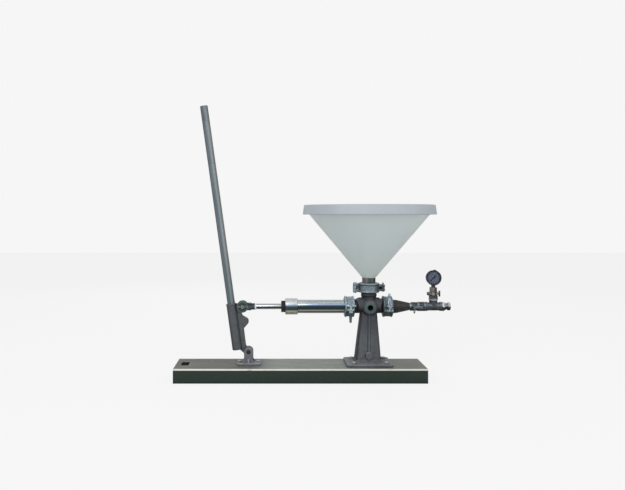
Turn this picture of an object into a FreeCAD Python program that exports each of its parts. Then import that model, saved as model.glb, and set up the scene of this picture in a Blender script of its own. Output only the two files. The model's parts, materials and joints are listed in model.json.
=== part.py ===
import FreeCAD, Part
import math
import os

# Hand grout pump on a channel base. Millimetres, +X towards the outlet, +Z up, the operator's
# side faces -Y. The origin is under the middle of the part, on the floor.

vec = FreeCAD.Vector
along_x, along_y, along_z = vec(1, 0, 0), vec(0, 1, 0), vec(0, 0, 1)

# Clearances
running_gap = 0.05
seat_gap = 0.3
hole_gap = 0.5

# Base channel, flanges down
channel_left = -622.1
channel_length = 1120.0
channel_width = 203.2
channel_height = 63.5
channel_web = 7.0
channel_flange = 8.0
channel_corner = 8.0
hand_hole_length = 36.0
hand_hole_width = 68.0
hand_hole_inset = 41.2

# Two inch pipe bore, and the grooved ends that the lever clamps hold
pipe_radius = 30.15
pipe_wall = 3.9
groove_inset = 15.9
groove_width = 7.9
groove_depth = 1.6
joint_gap = 3.0

# Pump body: a cross with four ports on a column
pump_x = 253.5
bore_height = 323.6
inlet_reach = 90.0
outlet_reach = 83.0
hopper_reach = 86.0
neck_radius = 35.5
shoulder_height = 46.5
groove_land = 0.7
shell_radius = 41.0
front_boss_radius = 33.0
front_boss_reach = 43.0
foot_length = 206.0
foot_width = 160.0
foot_shift = -5.0
foot_thickness = 12.0
foot_corner = 12.0
column_foot_length = 116.0
column_foot_width = 92.0
column_top_length = 70.0
column_top_width = 58.0
column_foot_shift = -7.0
column_top_shift = -2.0
column_corner = 18.0
skirt_height = 14.0
skirt_spread = 7.0
rib_width = 9.0
rib_rise = 6.0
bulb_radius = 16.0
bulb_height = 45.5
stem_width = 7.0
foot_bolt_pitch_x = 145.0
foot_bolt_pitch_y = 100.0

# Base bolts
bolt_radius = 6.0
bolt_head_width = 19.0
bolt_head_height = 7.5
bolt_nut_height = 10.0
bolt_tail = 3.0
bolt_seat_radius = 12.0

# Clean-out plug in the front port
plug_flange_radius = 25.5
plug_flange_thickness = 6.0
plug_thread_radius = 16.7
plug_thread_length = 17.0
plug_socket_width = 21.0
plug_socket_depth = 15.0

# Cylinder, cap, gland and packing
tube_end_x = -92.5
cap_radius = 36.5
cap_grip = 22.1
cap_head = 34.3
gland_radius = 26.25
gland_flange = 18.2
gland_spigot_radius = 18.0
gland_spigot = 17.0
packing_length = 14.5

# Piston and rod
rod_radius = 12.7
rod_spigot_radius = 8.0
piston_x = -9.5
piston_plate = 6.0
cup_length = 12.0
cup_wall = 4.0
piston_nut_height = 12.0
piston_nut_width = 24.0
plate_gap = 0.4

# Lever, measured up from its pivot while it stands upright
pivot_x = -292.7
pivot_height = 119.6
lever_lean = 7.9
pin_radius_on_lever = 206.0
slot_top = 219.1
handle_offset = 49.0
handle_radius = 17.45
handle_wall = 3.2
handle_length = 1108.8
sleeve_bottom = 16.0
sleeve_length = 209.6
sleeve_radius = 23.0
sleeve_floor = 8.0
sleeve_rim = 1.0
sleeve_rim_height = 7.0
web_thickness = 14.0
web_reach = 42.0
lug_wall = 4.0
lug_thickness = 22.0
blank_lug_radius = 19.5
blank_lug_height = 138.7
hub_radius = 18.0
hub_width = 32.0
pivot_pin_radius = 8.0
set_screw_radius = 4.0
set_screw_height = 150.0

# Clevis on the rod
clevis_pin_radius = 7.0
slot_clearance = 2.25
cheek_radius = 25.4
cheek_thickness = 9.5
fork_gap = 23.5
fork_depth = 28.0
clevis_height = 29.0
fork_bridge = 12.0
clevis_shank = 15.0
clevis_nose = 8.0
cotter_radius = 1.2
cotter_loop = 2.6
cotter_half_length = 23.0

# Pivot bracket
bracket_length = 107.0
bracket_width = 84.0
bracket_plate = 8.0
bracket_corner = 9.0
bracket_bolt_pitch = 82.0
bracket_x = -291.5
ear_radius = 20.5
ear_thickness = 9.0
ear_foot_length = 58.0
ear_gap = 0.5
ear_recess_radius = 10.5
ear_recess_depth = 3.0

# Lever clamps, along the pipe axis from the middle of the joint
clamp_half_width = 22.5
clamp_radius = 47.75
clamp_waist_radius = 45.0
clamp_edge_radius = 40.0
clamp_pocket_radius = 41.0
clamp_key = 4.4
clamp_split = 1.5
hinge_reach = 63.0
knuckle_radius = 9.5
knuckle_half = 8.0
knuckle_end = 20.0
clamp_pin_radius = 4.0
clamp_pin_head = 7.0
lever_pin_reach = 62.5
lever_pin_rise = 11.0
ear_half_gap = 6.0
clamp_ear = 8.0
clamp_lever_half = 5.3
clamp_lever_hub = 8.0
clamp_tail_drop = 65.0
clamp_tail_half = 8.0
clamp_tip_half = 4.6
gasket_thickness = 10.3

# Hopper
hopper_wall = 5.0
hopper_spout_height = 455.0
hopper_cone_top = 741.7
hopper_cone_radius = 270.0
hopper_rim_radius = 300.0
hopper_rim_top_radius = 294.0
hopper_top = 785.0
spigot_length = 20.0
spigot_wall = 4.0

# Ball valves
valve_bore = 15.0
seat_depth = 11.0
suction_ball_radius = 21.0
suction_lift = 14.0
discharge_ball_radius = 20.0
discharge_lift = 9.0
stop_pin_radius = 4.0
stop_pin_grip = 5.0
guide_rib_width = 5.0
guide_rib_count = 4

# Reducer and nipple
reducer_straight = 37.5
reducer_length = 98.5
reducer_end_radius = 16.9
nipple_radius = 16.7
nipple_bore = 12.5
nipple_visible = 8.7
nipple_thread = 13.0

# Cam coupler and the fittings behind it
hub_collar_radius = 19.75
hub_collar_length = 20.3
coupler_ring_radius = 18.9
coupler_ring_length = 6.5
cup_radius = 20.95
cup_length_x = 37.3
cup_mouth = 18.25
cam_pivot_inset = 20.8
cam_pivot_reach = 26.0
cam_radius = 9.2
cam_offset = 2.0
cam_half = 5.4
cam_slot_half = 6.0
cam_slot_length = 23.0
cam_ear = 4.0
cam_pin_radius = 2.2
cam_ring_radius = 12.5
cam_ring_wire = 1.8
coupler_gasket_length = 3.5
adapter_radius = 18.15
adapter_groove_radius = 14.5
adapter_groove_length = 18.0
thread_radius = 16.4
thread_length = 13.5
flow_radius = 12.0
hose_bore = 11.5
tee_run = 74.6
tee_radius = 18.5
tee_band_radius = 20.6
tee_band = 9.5
tee_branch = 38.1
hose_hex = 39.0
hose_hex_length = 10.1
hose_land = 5.5
hose_groove = 12.0
hose_lip = 10.6

# Gauge and its cock
bushing_hex = 36.0
bushing_hex_length = 11.3
small_thread_radius = 6.8
small_thread_length = 9.0
small_bore = 3.5
cock_body_radius = 14.0
cock_body_height = 18.0
cock_barrel_radius = 8.6
cock_barrel_half = 19.0
cock_plug_radius = 6.0
cock_stem_radius = 3.6
cock_nut_width = 15.0
cock_nut_length = 8.0
cock_neck = 9.0
cock_bar_radius = 4.2
cock_bar_half = 13.0
coupling_hex = 30.0
coupling_length = 19.5
gauge_stem_width = 15.0
gauge_stem_height = 11.0
gauge_radius = 34.75
gauge_case_radius = 33.0
gauge_wall = 2.0
gauge_rise = 33.0
gauge_back = 14.0
gauge_front = 15.0
gauge_dial_depth = 8.0
gauge_dial_thickness = 1.0
gauge_lens_thickness = 2.0
gauge_window_radius = 28.0
pointer_length = 21.0
pointer_tail = 10.0
pointer_rest_angle = 225.0
fill_plug_angle = 75.0
fill_plug_radius = 4.0
fill_plug_head = 5.5
fill_plug_rise = 3.5
fill_plug_back = 3.0

# Places worked out from the sizes above
pipe_bore = pipe_radius - pipe_wall
channel_top = channel_height
foot_top = channel_top + foot_thickness
pump_centre = vec(pump_x, 0, bore_height)
cylinder_joint = pump_centre - along_x * inlet_reach
outlet_joint = pump_centre + along_x * outlet_reach
hopper_joint = pump_centre + along_z * hopper_reach
half_gap = joint_gap / 2
groove_end = half_gap + groove_inset + groove_width + groove_land
inlet_shoulder = inlet_reach - groove_end
outlet_shoulder = outlet_reach - groove_end
neck_height = hopper_reach - groove_end
clamp_pocket_half = half_gap + groove_inset + seat_gap
gasket_half = clamp_pocket_half - 0.4
cap_left = tube_end_x - cap_head
cap_right = tube_end_x + cap_grip
lean = math.radians(lever_lean)
clevis_centre = vec(pivot_x - pin_radius_on_lever * math.sin(lean), 0, bore_height)
slot_bottom = pin_radius_on_lever * math.cos(lean)
pivot_centre = vec(pivot_x, 0, pivot_height)
handle_line = -handle_offset


def moved(shape, start, direction=along_x):
    """A copy carried from the origin to start, with its X axis turned to direction."""
    copy = shape.copy()
    turn = FreeCAD.Rotation(along_x, direction)
    copy.Placement = FreeCAD.Placement(start, turn).multiply(shape.Placement)
    return copy


def turned(profile, start, direction=along_x):
    """Solid of revolution from (distance, radius) points about the line through start."""
    points = [vec(distance, radius, 0) for distance, radius in profile]
    face = Part.Face(Part.makePolygon(points + points[:1]))
    return moved(face.revolve(vec(0, 0, 0), along_x, 360), start, direction)


def rod(start, direction, length, radius):
    return Part.makeCylinder(radius, length, start, direction)


def ring(start, direction, length, outer, inner):
    return rod(start, direction, length, outer).cut(rod(start, direction, length, inner))


def block(low, high):
    size = high - low
    return Part.makeBox(size.x, size.y, size.z, low)


def prism(points, normal, half):
    """Outline points, extruded the same distance to both sides of their plane."""
    face = Part.Face(Part.makePolygon(points + points[:1]))
    face.translate(normal * -half)
    return face.extrude(normal * (2 * half))


def hexagon(start, direction, length, width):
    """Hexagonal bar with turned chamfers on both ends."""
    corner = width / math.sqrt(3)
    angles = [math.radians(60 * step) for step in range(6)]
    points = [vec(0, corner * math.cos(a), corner * math.sin(a)) for a in angles]
    bar = Part.Face(Part.makePolygon(points + points[:1])).extrude(along_x * length)
    flat = width / 2
    dip = (corner - flat) * 0.6
    profile = [(0, 0), (0, flat), (dip, corner), (length - dip, corner), (length, flat), (length, 0)]
    return moved(bar.common(turned(profile, vec(0, 0, 0))), start, direction)


def fused(first, *others):
    return first.multiFuse(list(others)).removeSplitter()


def rounded_outline(centre, length, width, corner):
    """Closed wire of a rectangle with round corners, level at the centre's height."""
    half_x, half_y = length / 2 - corner, width / 2 - corner
    wire = []
    for step in range(4):
        angle = math.radians(90 * step)
        side_x = half_x if step in (0, 3) else -half_x
        side_y = half_y if step in (0, 1) else -half_y
        middle = centre + vec(side_x, side_y, 0)
        turns = [angle, angle + math.pi / 4, angle + math.pi / 2]
        points = [middle + vec(math.cos(t), math.sin(t), 0) * corner for t in turns]
        if wire:
            wire.append(Part.makeLine(wire[-1].Vertexes[-1].Point, points[0]))
        wire.append(Part.Arc(*points).toShape())
    wire.append(Part.makeLine(wire[-1].Vertexes[-1].Point, wire[0].Vertexes[0].Point))
    return Part.Wire(wire)


def plate(centre, length, width, thickness, corner):
    return Part.Face(rounded_outline(centre, length, width, corner)).extrude(along_z * thickness)


def frustum(low, low_size, high, high_size, corner):
    """Tapered column between two rounded rectangles."""
    wires = [rounded_outline(low, *low_size, corner), rounded_outline(high, *high_size, corner)]
    return Part.makeLoft(wires, True, True)


def grooved(pipe, end, inward):
    """Cut the clamp groove near one end of a two inch pipe."""
    start = end + inward * groove_inset
    cutter = ring(start, inward, groove_width, pipe_radius + 2, pipe_radius - groove_depth)
    return pipe.cut(cutter)


def save(name, *solids):
    shape = solids[0] if len(solids) == 1 else Part.makeCompound(list(solids))
    if not shape.isValid():
        print("not valid:", name)
    shape.exportStep(f"parts/{name}.step")
    print(name, len(shape.Solids), round(shape.Volume / 1000, 1), "cm3")


# Base channel and its bolts

def foot_bolt_places():
    return [vec(pump_x + side_x * foot_bolt_pitch_x / 2, side_y * foot_bolt_pitch_y / 2, 0)
            for side_x in (-1, 1) for side_y in (-1, 1)]


def bracket_bolt_places():
    return [vec(bracket_x + side * bracket_bolt_pitch / 2, 0, 0) for side in (-1, 1)]


def base_channel():
    half = channel_width / 2
    outer = block(vec(channel_left, -half, 0), vec(channel_left + channel_length, half, channel_top))
    top_edges = [edge for edge in outer.Edges if edge.Length > channel_length - 1
                 and edge.CenterOfMass.z > channel_top - 1]
    outer = outer.makeFillet(channel_corner, top_edges)
    inside = half - channel_flange
    hollow = block(vec(channel_left - 1, -inside, -1),
                   vec(channel_left + channel_length + 1, inside, channel_top - channel_web))
    inner_edges = [edge for edge in hollow.Edges if edge.Length > channel_length
                   and edge.CenterOfMass.z > channel_top - channel_web - 1]
    hollow = hollow.makeFillet(channel_corner / 2, inner_edges)
    hole_x = channel_left + hand_hole_inset
    hole = plate(vec(hole_x, 0, channel_top - 2 * channel_web), hand_hole_length, hand_hole_width,
                 3 * channel_web, 3)
    shape = outer.cut(hollow).cut(hole)
    for place in foot_bolt_places() + bracket_bolt_places():
        shape = shape.cut(rod(place, along_z, channel_top + 1, bolt_radius + hole_gap))
    return shape


def base_bolts():
    solids = []
    for places, seat in ((foot_bolt_places(), foot_top),
                         (bracket_bolt_places(), channel_top + bracket_plate)):
        tip = channel_top - channel_web - bolt_nut_height - bolt_tail
        for place in places:
            shank = rod(place + along_z * tip, along_z, seat - tip, bolt_radius)
            head = hexagon(place + along_z * seat, along_z, bolt_head_height, bolt_head_width)
            solids.append(fused(shank, head))
    return solids


def base_nuts():
    low = channel_top - channel_web - bolt_nut_height
    solids = []
    for place in foot_bolt_places() + bracket_bolt_places():
        nut = hexagon(place + along_z * low, along_z, bolt_nut_height, bolt_head_width)
        solids.append(nut.cut(rod(place + along_z * low, along_z, bolt_nut_height, bolt_radius)))
    return solids


# Pump body casting

def column_share(height):
    """How far up the column a height lies, from the foot at 0 to the bore at 1."""
    return (height - foot_top) / (bore_height - foot_top)


def column_size(height):
    """Length and width of the column at a height, on its straight taper."""
    share = column_share(height)
    length = column_foot_length + (column_top_length - column_foot_length) * share
    width = column_foot_width + (column_top_width - column_foot_width) * share
    return length, width


def column_middle(height):
    """Middle of the column at a height: it leans a little from the foot to the bore."""
    shift = column_foot_shift + (column_top_shift - column_foot_shift) * column_share(height)
    return vec(pump_x + shift, 0, height)


def column():
    skirt_top = foot_top + skirt_height
    body = frustum(column_middle(foot_top), column_size(foot_top),
                   column_middle(bore_height), column_size(bore_height), column_corner)
    spread = [size + 2 * skirt_spread for size in column_size(foot_top)]
    skirt = frustum(column_middle(foot_top), spread, column_middle(skirt_top), column_size(skirt_top),
                    column_corner)
    foot = plate(vec(pump_x + foot_shift, 0, channel_top), foot_length, foot_width, foot_thickness,
                 foot_corner)
    return fused(body, skirt, foot)


def column_rib(side):
    """Raised rib down the middle of one face, ending in a round boss over a stem."""
    bulb_z = channel_top + bulb_height

    def at(height, rise):
        return column_middle(height) + along_y * (side * rise)

    def face(height):
        return column_size(height)[1] / 2 + rib_rise

    def strip(low, high, half):
        """Bar that follows the column's lean between two heights."""
        across = along_x * half
        corners = [at(high, 0) - across, at(high, 0) + across, at(low, 0) + across, at(low, 0) - across]
        slab = Part.Face(Part.makePolygon(corners + corners[:1])).extrude(along_y * (side * 120))
        reach = [vec(0, 0, low), vec(0, side * face(low), low), vec(0, side * face(high), high), vec(0, 0, high)]
        return slab.common(prism(reach, along_x, 600))

    rib = strip(bulb_z, bore_height, rib_width / 2)
    bulb = rod(at(bulb_z, 0), along_y * side, face(bulb_z) + 2, bulb_radius)
    return fused(rib, bulb, strip(foot_top, bulb_z, stem_width / 2))


def pump_body():
    inlet = cylinder_joint + along_x * half_gap
    outlet = outlet_joint - along_x * half_gap
    top = hopper_joint - along_z * half_gap
    run = rod(inlet, along_x, outlet.x - inlet.x, pipe_radius)
    run = grooved(run, inlet, along_x)
    run = grooved(run, outlet, along_x * -1)
    port = grooved(rod(pump_centre, along_z, top.z - bore_height, pipe_radius), top, along_z * -1)
    neck = turned([(0, 0), (0, neck_radius - 2), (shoulder_height, neck_radius - 2),
                   (shoulder_height + 4, neck_radius), (neck_height - 2, neck_radius),
                   (neck_height, neck_radius - 2), (neck_height, 0)], pump_centre, along_z)
    cone = turned([(-12, 0), (-12, inlet_shoulder), (pipe_radius, inlet_shoulder),
                   (shoulder_height, neck_radius - 2), (shoulder_height, 0)], pump_centre, along_z)
    shell = rod(pump_centre - along_x * inlet_shoulder, along_x, inlet_shoulder + outlet_shoulder,
                shell_radius)
    rise = front_boss_reach - 3
    boss = turned([(0, 0), (0, front_boss_radius + 3), (rise - 6, front_boss_radius + 3),
                   (rise, front_boss_radius), (front_boss_reach, front_boss_radius - 2),
                   (front_boss_reach, 0)], pump_centre, along_y * -1)
    solid = fused(column(), column_rib(-1), column_rib(1), run, port, neck, cone.common(shell), boss)
    bore = rod(cylinder_joint, along_x, outlet_joint.x - cylinder_joint.x, pipe_bore)
    throat = rod(pump_centre, along_z, hopper_reach, pipe_bore)
    front = rod(pump_centre, along_y * -1, front_boss_reach + 1, plug_thread_radius)
    solid = solid.cut(bore).cut(throat).cut(front)
    solid = solid.cut(suction_stop_pin())
    for place in foot_bolt_places():
        hole = rod(place + along_z * (channel_top - 1), along_z, foot_thickness + 2,
                   bolt_radius + hole_gap)
        seat = rod(place + along_z * foot_top, along_z, skirt_height + 1, bolt_seat_radius)
        solid = solid.cut(hole).cut(seat)
    return solid


def cleanout_plug():
    face = front_boss_reach
    front = face + plug_flange_thickness
    profile = [(face - plug_thread_length, 0), (face - plug_thread_length, plug_thread_radius - 1),
               (face - plug_thread_length + 1, plug_thread_radius), (face, plug_thread_radius),
               (face, plug_flange_radius), (front - 2, plug_flange_radius),
               (front, plug_flange_radius - 3.5), (front, 0)]
    body = turned(profile, pump_centre, along_y * -1)
    start = pump_centre - along_y * (front - plug_socket_depth)
    return body.cut(hexagon(start, along_y * -1, plug_socket_depth + 6, plug_socket_width))


# Cylinder, gland, piston and rod

def cylinder_tube():
    end = cylinder_joint - along_x * half_gap
    start = vec(tube_end_x, 0, bore_height)
    return grooved(ring(start, along_x, end.x - tube_end_x, pipe_radius, pipe_bore), end, along_x * -1)


def cylinder_cap():
    line = vec(0, 0, bore_height)
    lip = gland_spigot + packing_length
    profile = [(cap_left, gland_spigot_radius), (cap_left, cap_radius - 2), (cap_left + 2, cap_radius),
               (cap_right - 2, cap_radius), (cap_right, cap_radius - 2), (cap_right, pipe_radius),
               (tube_end_x, pipe_radius), (tube_end_x, rod_radius + 1.5),
               (cap_left + lip, rod_radius + 1.5), (cap_left + lip, gland_spigot_radius)]
    return turned(profile, line)


def rod_gland():
    start = vec(cap_left, 0, bore_height)
    inner = rod_radius + running_gap
    profile = [(-gland_flange, inner), (-gland_flange, gland_radius - 1.5),
               (-gland_flange + 1.5, gland_radius), (0, gland_radius), (0, gland_spigot_radius),
               (gland_spigot, gland_spigot_radius), (gland_spigot, inner)]
    return turned(profile, start)


def rod_packing():
    start = vec(cap_left + gland_spigot, 0, bore_height)
    return ring(start, along_x, packing_length, gland_spigot_radius, rod_radius + running_gap)


def piston_rod():
    start = clevis_centre.x + fork_depth + 6
    stack = 3 * piston_plate + 2 * cup_length + piston_nut_height + 3
    profile = [(start, 0), (start, rod_radius), (piston_x, rod_radius), (piston_x, rod_spigot_radius),
               (piston_x + stack - 1, rod_spigot_radius), (piston_x + stack, rod_spigot_radius - 1),
               (piston_x + stack, 0)]
    return turned(profile, vec(0, 0, bore_height))


def piston_plates():
    pitch = piston_plate + cup_length
    discs = [ring(vec(piston_x + step * pitch, 0, bore_height), along_x, piston_plate,
                  pipe_bore - plate_gap, rod_spigot_radius) for step in range(3)]
    nut_start = vec(piston_x + 2 * pitch + piston_plate, 0, bore_height)
    nut = hexagon(nut_start, along_x, piston_nut_height, piston_nut_width)
    return discs + [nut.cut(rod(nut_start, along_x, piston_nut_height, rod_spigot_radius))]


def piston_cups():
    """Two cup seals, each a floor and a lipped skirt, with the skirts turned outwards."""
    outer = pipe_bore - running_gap
    profile = [(0, rod_spigot_radius), (0, outer - 2), (2, outer), (cup_length, outer),
               (cup_length, outer - cup_wall), (cup_wall, outer - cup_wall - 1),
               (cup_wall, rod_spigot_radius + cup_wall), (cup_length, rod_spigot_radius + cup_wall),
               (cup_length, rod_spigot_radius)]
    first = vec(piston_x + piston_plate + cup_length, 0, bore_height)
    second = vec(piston_x + 2 * piston_plate + cup_length, 0, bore_height)
    return [turned(profile, first, along_x * -1), turned(profile, second)]


def rod_clevis():
    centre = clevis_centre
    inner = fork_gap / 2
    outer = inner + cheek_thickness
    half = clevis_height / 2
    cheeks = []
    for side in (-1, 1):
        face = centre + along_y * (side * inner)
        cheeks.append(rod(face, along_y * side, cheek_thickness, cheek_radius))
        low = vec(centre.x, min(side * inner, side * outer), centre.z - half)
        high = vec(centre.x + fork_depth, max(side * inner, side * outer), centre.z + half)
        cheeks.append(block(low, high))
    bridge_x = centre.x + fork_depth
    bridge = block(vec(bridge_x, -outer, centre.z - half), vec(bridge_x + fork_bridge, outer, centre.z + half))
    shank_x = bridge_x + fork_bridge
    end = clevis_shank + clevis_nose
    shank = turned([(-1, 0), (-1, half), (clevis_shank, half), (end, rod_radius + 0.6), (end, 0)],
                   vec(shank_x, 0, centre.z))
    solid = fused(bridge, shank, *cheeks)
    solid = solid.cut(rod(vec(bridge_x + 6, 0, centre.z), along_x, 60, rod_radius))
    pin_hole = rod(centre - along_y * (outer + 1), along_y, 2 * outer + 2, clevis_pin_radius)
    return solid.cut(pin_hole)


def clevis_pin():
    outer = fork_gap / 2 + cheek_thickness
    tip = outer + 6
    profile = [(-tip, 0), (-tip, clevis_pin_radius - 1), (-tip + 1, clevis_pin_radius),
               (outer, clevis_pin_radius), (outer, clevis_pin_radius + 4),
               (outer + 4, clevis_pin_radius + 4), (outer + 5, clevis_pin_radius + 3), (outer + 5, 0)]
    pin = turned(profile, clevis_centre, along_y)
    hole_start = clevis_centre - along_y * (outer + 3) - along_x * 10
    return pin.cut(rod(hole_start, along_x, 20, cotter_radius))


def clevis_cotter():
    """Hairpin cotter: one straight leg through the pin, one leg bowed round it."""
    y = -(fork_gap / 2 + cheek_thickness + 3)
    middle = vec(clevis_centre.x, y, clevis_centre.z)
    bow = clevis_pin_radius + cotter_radius + 0.4
    loop = cotter_loop
    loop_x = cotter_half_length - loop
    rise = math.asin(2 * loop / bow)
    foot = bow * math.cos(rise)

    def at(x, z):
        return middle + vec(x, 0, z)

    tail = at(-cotter_half_length + 3, loop)
    edges = [Part.makeLine(at(-cotter_half_length, 0), at(loop_x, 0)),
             Part.Arc(at(loop_x, 0), at(loop_x + loop, loop), at(loop_x, 2 * loop)).toShape(),
             Part.makeLine(at(loop_x, 2 * loop), at(foot, 2 * loop)),
             Part.Arc(at(foot, 2 * loop), at(0, bow), at(-foot, 2 * loop)).toShape(),
             Part.makeLine(at(-foot, 2 * loop), tail)]
    legs = [swept_wire(edge, cotter_radius) for edge in edges]
    bends = [Part.makeSphere(cotter_radius, at(side * foot, 2 * loop)) for side in (-1, 1)]
    return fused(*legs, *bends)


def swept_wire(edge, radius):
    """Round wire of a given radius along one edge."""
    start = edge.valueAt(edge.FirstParameter)
    heading = edge.tangentAt(edge.FirstParameter)
    section = Part.Wire(Part.makeCircle(radius, start, heading))
    return Part.Wire(edge).makePipeShell([section], True, False)


# Lever, handle and bracket

def leaned(shape):
    """Carry a shape from the upright lever frame, pivot at the origin, to its rest place."""
    copy = shape.copy()
    turn = FreeCAD.Rotation(along_y, -lever_lean)
    copy.Placement = FreeCAD.Placement(pivot_centre, turn).multiply(shape.Placement)
    return copy


def link_hull(low, high, radius, half):
    """Rounded bar between two heights on the pin line, thick along Y."""
    ends = [rod(vec(0, -half, height), along_y, 2 * half, radius) for height in (low, high)]
    return fused(block(vec(-radius, -half, low), vec(radius, half, high)), *ends)


def lever_casting():
    web_edge = handle_line + web_reach
    sleeve_top = sleeve_bottom + sleeve_length
    half_web = web_thickness / 2
    sleeve = turned([(0, 0), (0, sleeve_radius), (sleeve_length - sleeve_rim_height, sleeve_radius),
                     (sleeve_length - sleeve_rim_height + 1.5, sleeve_radius + sleeve_rim),
                     (sleeve_length, sleeve_radius + sleeve_rim), (sleeve_length, 0)],
                    vec(handle_line, 0, sleeve_bottom), along_z)
    web = prism([vec(handle_line, 0, sleeve_bottom), vec(-40, 0, sleeve_bottom), vec(-18, 0, -9),
                 vec(8, 0, 12), vec(-4, 0, 21), vec(-8, 0, 32), vec(web_edge, 0, 110),
                 vec(web_edge, 0, sleeve_top - 3), vec(handle_line, 0, sleeve_top - 3)], along_y, half_web)
    hub = rod(vec(0, -hub_width / 2, 0), along_y, hub_width, hub_radius)
    blank = rod(vec(0, -half_web, blank_lug_height), along_y, web_thickness, blank_lug_radius)
    shoulder = prism([vec(web_edge - 2, 0, blank_lug_height + 38),
                      vec(web_edge + 4, 0, blank_lug_height + 26),
                      vec(9, 0, blank_lug_height + 17.3), vec(9, 0, blank_lug_height - 17.3),
                      vec(web_edge - 2, 0, blank_lug_height - 34)], along_y, half_web)
    slot_radius = clevis_pin_radius + slot_clearance
    lug = link_hull(slot_bottom, slot_top, slot_radius + lug_wall, lug_thickness / 2)
    tie = block(vec(handle_line, -half_web, slot_bottom - 18), vec(0, half_web, sleeve_top - 3))
    solid = fused(sleeve, web, hub, blank, shoulder, lug, tie)
    socket = rod(vec(handle_line, 0, sleeve_bottom + sleeve_floor), along_z, sleeve_length,
                 handle_radius)
    pin_hole = rod(vec(0, -hub_width, 0), along_y, 2 * hub_width, pivot_pin_radius + running_gap)
    slot = link_hull(slot_bottom, slot_top, slot_radius, lug_thickness)
    screw_hole = rod(vec(handle_line, handle_radius - 2, set_screw_height), along_y, 12,
                     set_screw_radius)
    return leaned(solid.cut(socket).cut(pin_hole).cut(slot).cut(screw_hole))


def handle_pipe():
    start = vec(handle_line, 0, sleeve_bottom + sleeve_floor)
    return leaned(ring(start, along_z, handle_length, handle_radius, handle_radius - handle_wall))


def handle_set_screw():
    start = vec(handle_line, handle_radius, set_screw_height)
    length = sleeve_radius - handle_radius + 3
    screw = rod(start, along_y, length, set_screw_radius)
    socket = hexagon(start + along_y * (length - 2.5), along_y, 6, set_screw_radius)
    return leaned(screw.cut(socket))


def ear_inner():
    return hub_width / 2 + ear_gap


def pivot_bracket():
    base = plate(vec(bracket_x, 0, channel_top), bracket_length, bracket_width, bracket_plate,
                 bracket_corner)
    plate_top = channel_top + bracket_plate
    solid = base
    for side in (-1, 1):
        inner = side * ear_inner()
        outer = side * (ear_inner() + ear_thickness)
        middle = (inner + outer) / 2
        half = ear_thickness / 2
        spread = ear_foot_length / 2
        outline = [vec(pivot_x - spread, middle, plate_top - 2), vec(pivot_x - spread, middle, plate_top + 3),
                   vec(pivot_x - ear_radius, middle, plate_top + 14), vec(pivot_x - ear_radius, middle, pivot_height),
                   vec(pivot_x + ear_radius, middle, pivot_height), vec(pivot_x + ear_radius, middle, plate_top + 14),
                   vec(pivot_x + spread, middle, plate_top + 3), vec(pivot_x + spread, middle, plate_top - 2)]
        cheek = prism(outline, along_y, half)
        eye = rod(vec(pivot_x, middle - half, pivot_height), along_y, ear_thickness, ear_radius)
        gusset = prism([vec(pivot_x, outer - side, plate_top - 1), vec(pivot_x, outer - side, plate_top + 22),
                        vec(pivot_x, side * (bracket_width / 2 - 4), plate_top - 1)], along_x, 5)
        solid = fused(solid, cheek, eye, gusset)
        recess_start = vec(pivot_x, outer - side * ear_recess_depth, pivot_height)
        solid = solid.cut(rod(recess_start, along_y * side, ear_recess_depth + 1, ear_recess_radius))
    solid = solid.cut(rod(vec(pivot_x, -60, pivot_height), along_y, 120, pivot_pin_radius))
    for place in bracket_bolt_places():
        hole = rod(place + along_z * (channel_top - 1), along_z, bracket_plate + 2,
                   bolt_radius + hole_gap)
        solid = solid.cut(hole)
    return solid


def pivot_pin():
    """Pin with a retaining ring at each end, both inside the ears' recesses."""
    half = ear_inner() + ear_thickness - 0.6
    pin = rod(pivot_centre - along_y * half, along_y, 2 * half, pivot_pin_radius)
    solids = [pin]
    for side in (-1, 1):
        seat = pivot_centre + along_y * (side * (ear_inner() + ear_thickness - ear_recess_depth))
        solids.append(ring(seat, along_y * side, 1.5, ear_recess_radius - hole_gap, pivot_pin_radius))
    return solids


# Lever clamps. Built with the pipe along X, the hinge at +Y and the lever at -Y.

def clamp_ring():
    edge, pocket, key = clamp_half_width, clamp_pocket_half, clamp_pocket_half + clamp_key
    key_radius = pipe_radius - groove_depth + 0.6
    lip = pipe_radius + 0.8
    half = [(edge, clamp_edge_radius), (edge, lip), (key, lip), (key, key_radius),
            (pocket, key_radius), (pocket, clamp_pocket_radius)]
    outside = [(-edge, clamp_edge_radius), (-edge + 3, clamp_radius), (-15, clamp_radius),
               (-12, clamp_waist_radius), (12, clamp_waist_radius), (15, clamp_radius),
               (edge - 3, clamp_radius)]
    mirror = [(-a, r) for a, r in reversed(half)]
    return turned(outside + half + mirror, vec(0, 0, 0))


def half_space(side):
    """Everything above the split for side 1, or below it for side -1."""
    near, far = side * clamp_split / 2, side * 100
    return block(vec(-60, -100, min(near, far)), vec(60, 100, max(near, far)))


def clamp_arm(side, low_x, high_x, near_y, far_y, height):
    """Arm beside the split, from the ring out to a hinge or lever pin."""
    low_z, high_z = sorted((side * clamp_split / 2, side * height))
    low_y, high_y = sorted((near_y, far_y))
    return block(vec(low_x, low_y, low_z), vec(high_x, high_y, high_z))


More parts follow.
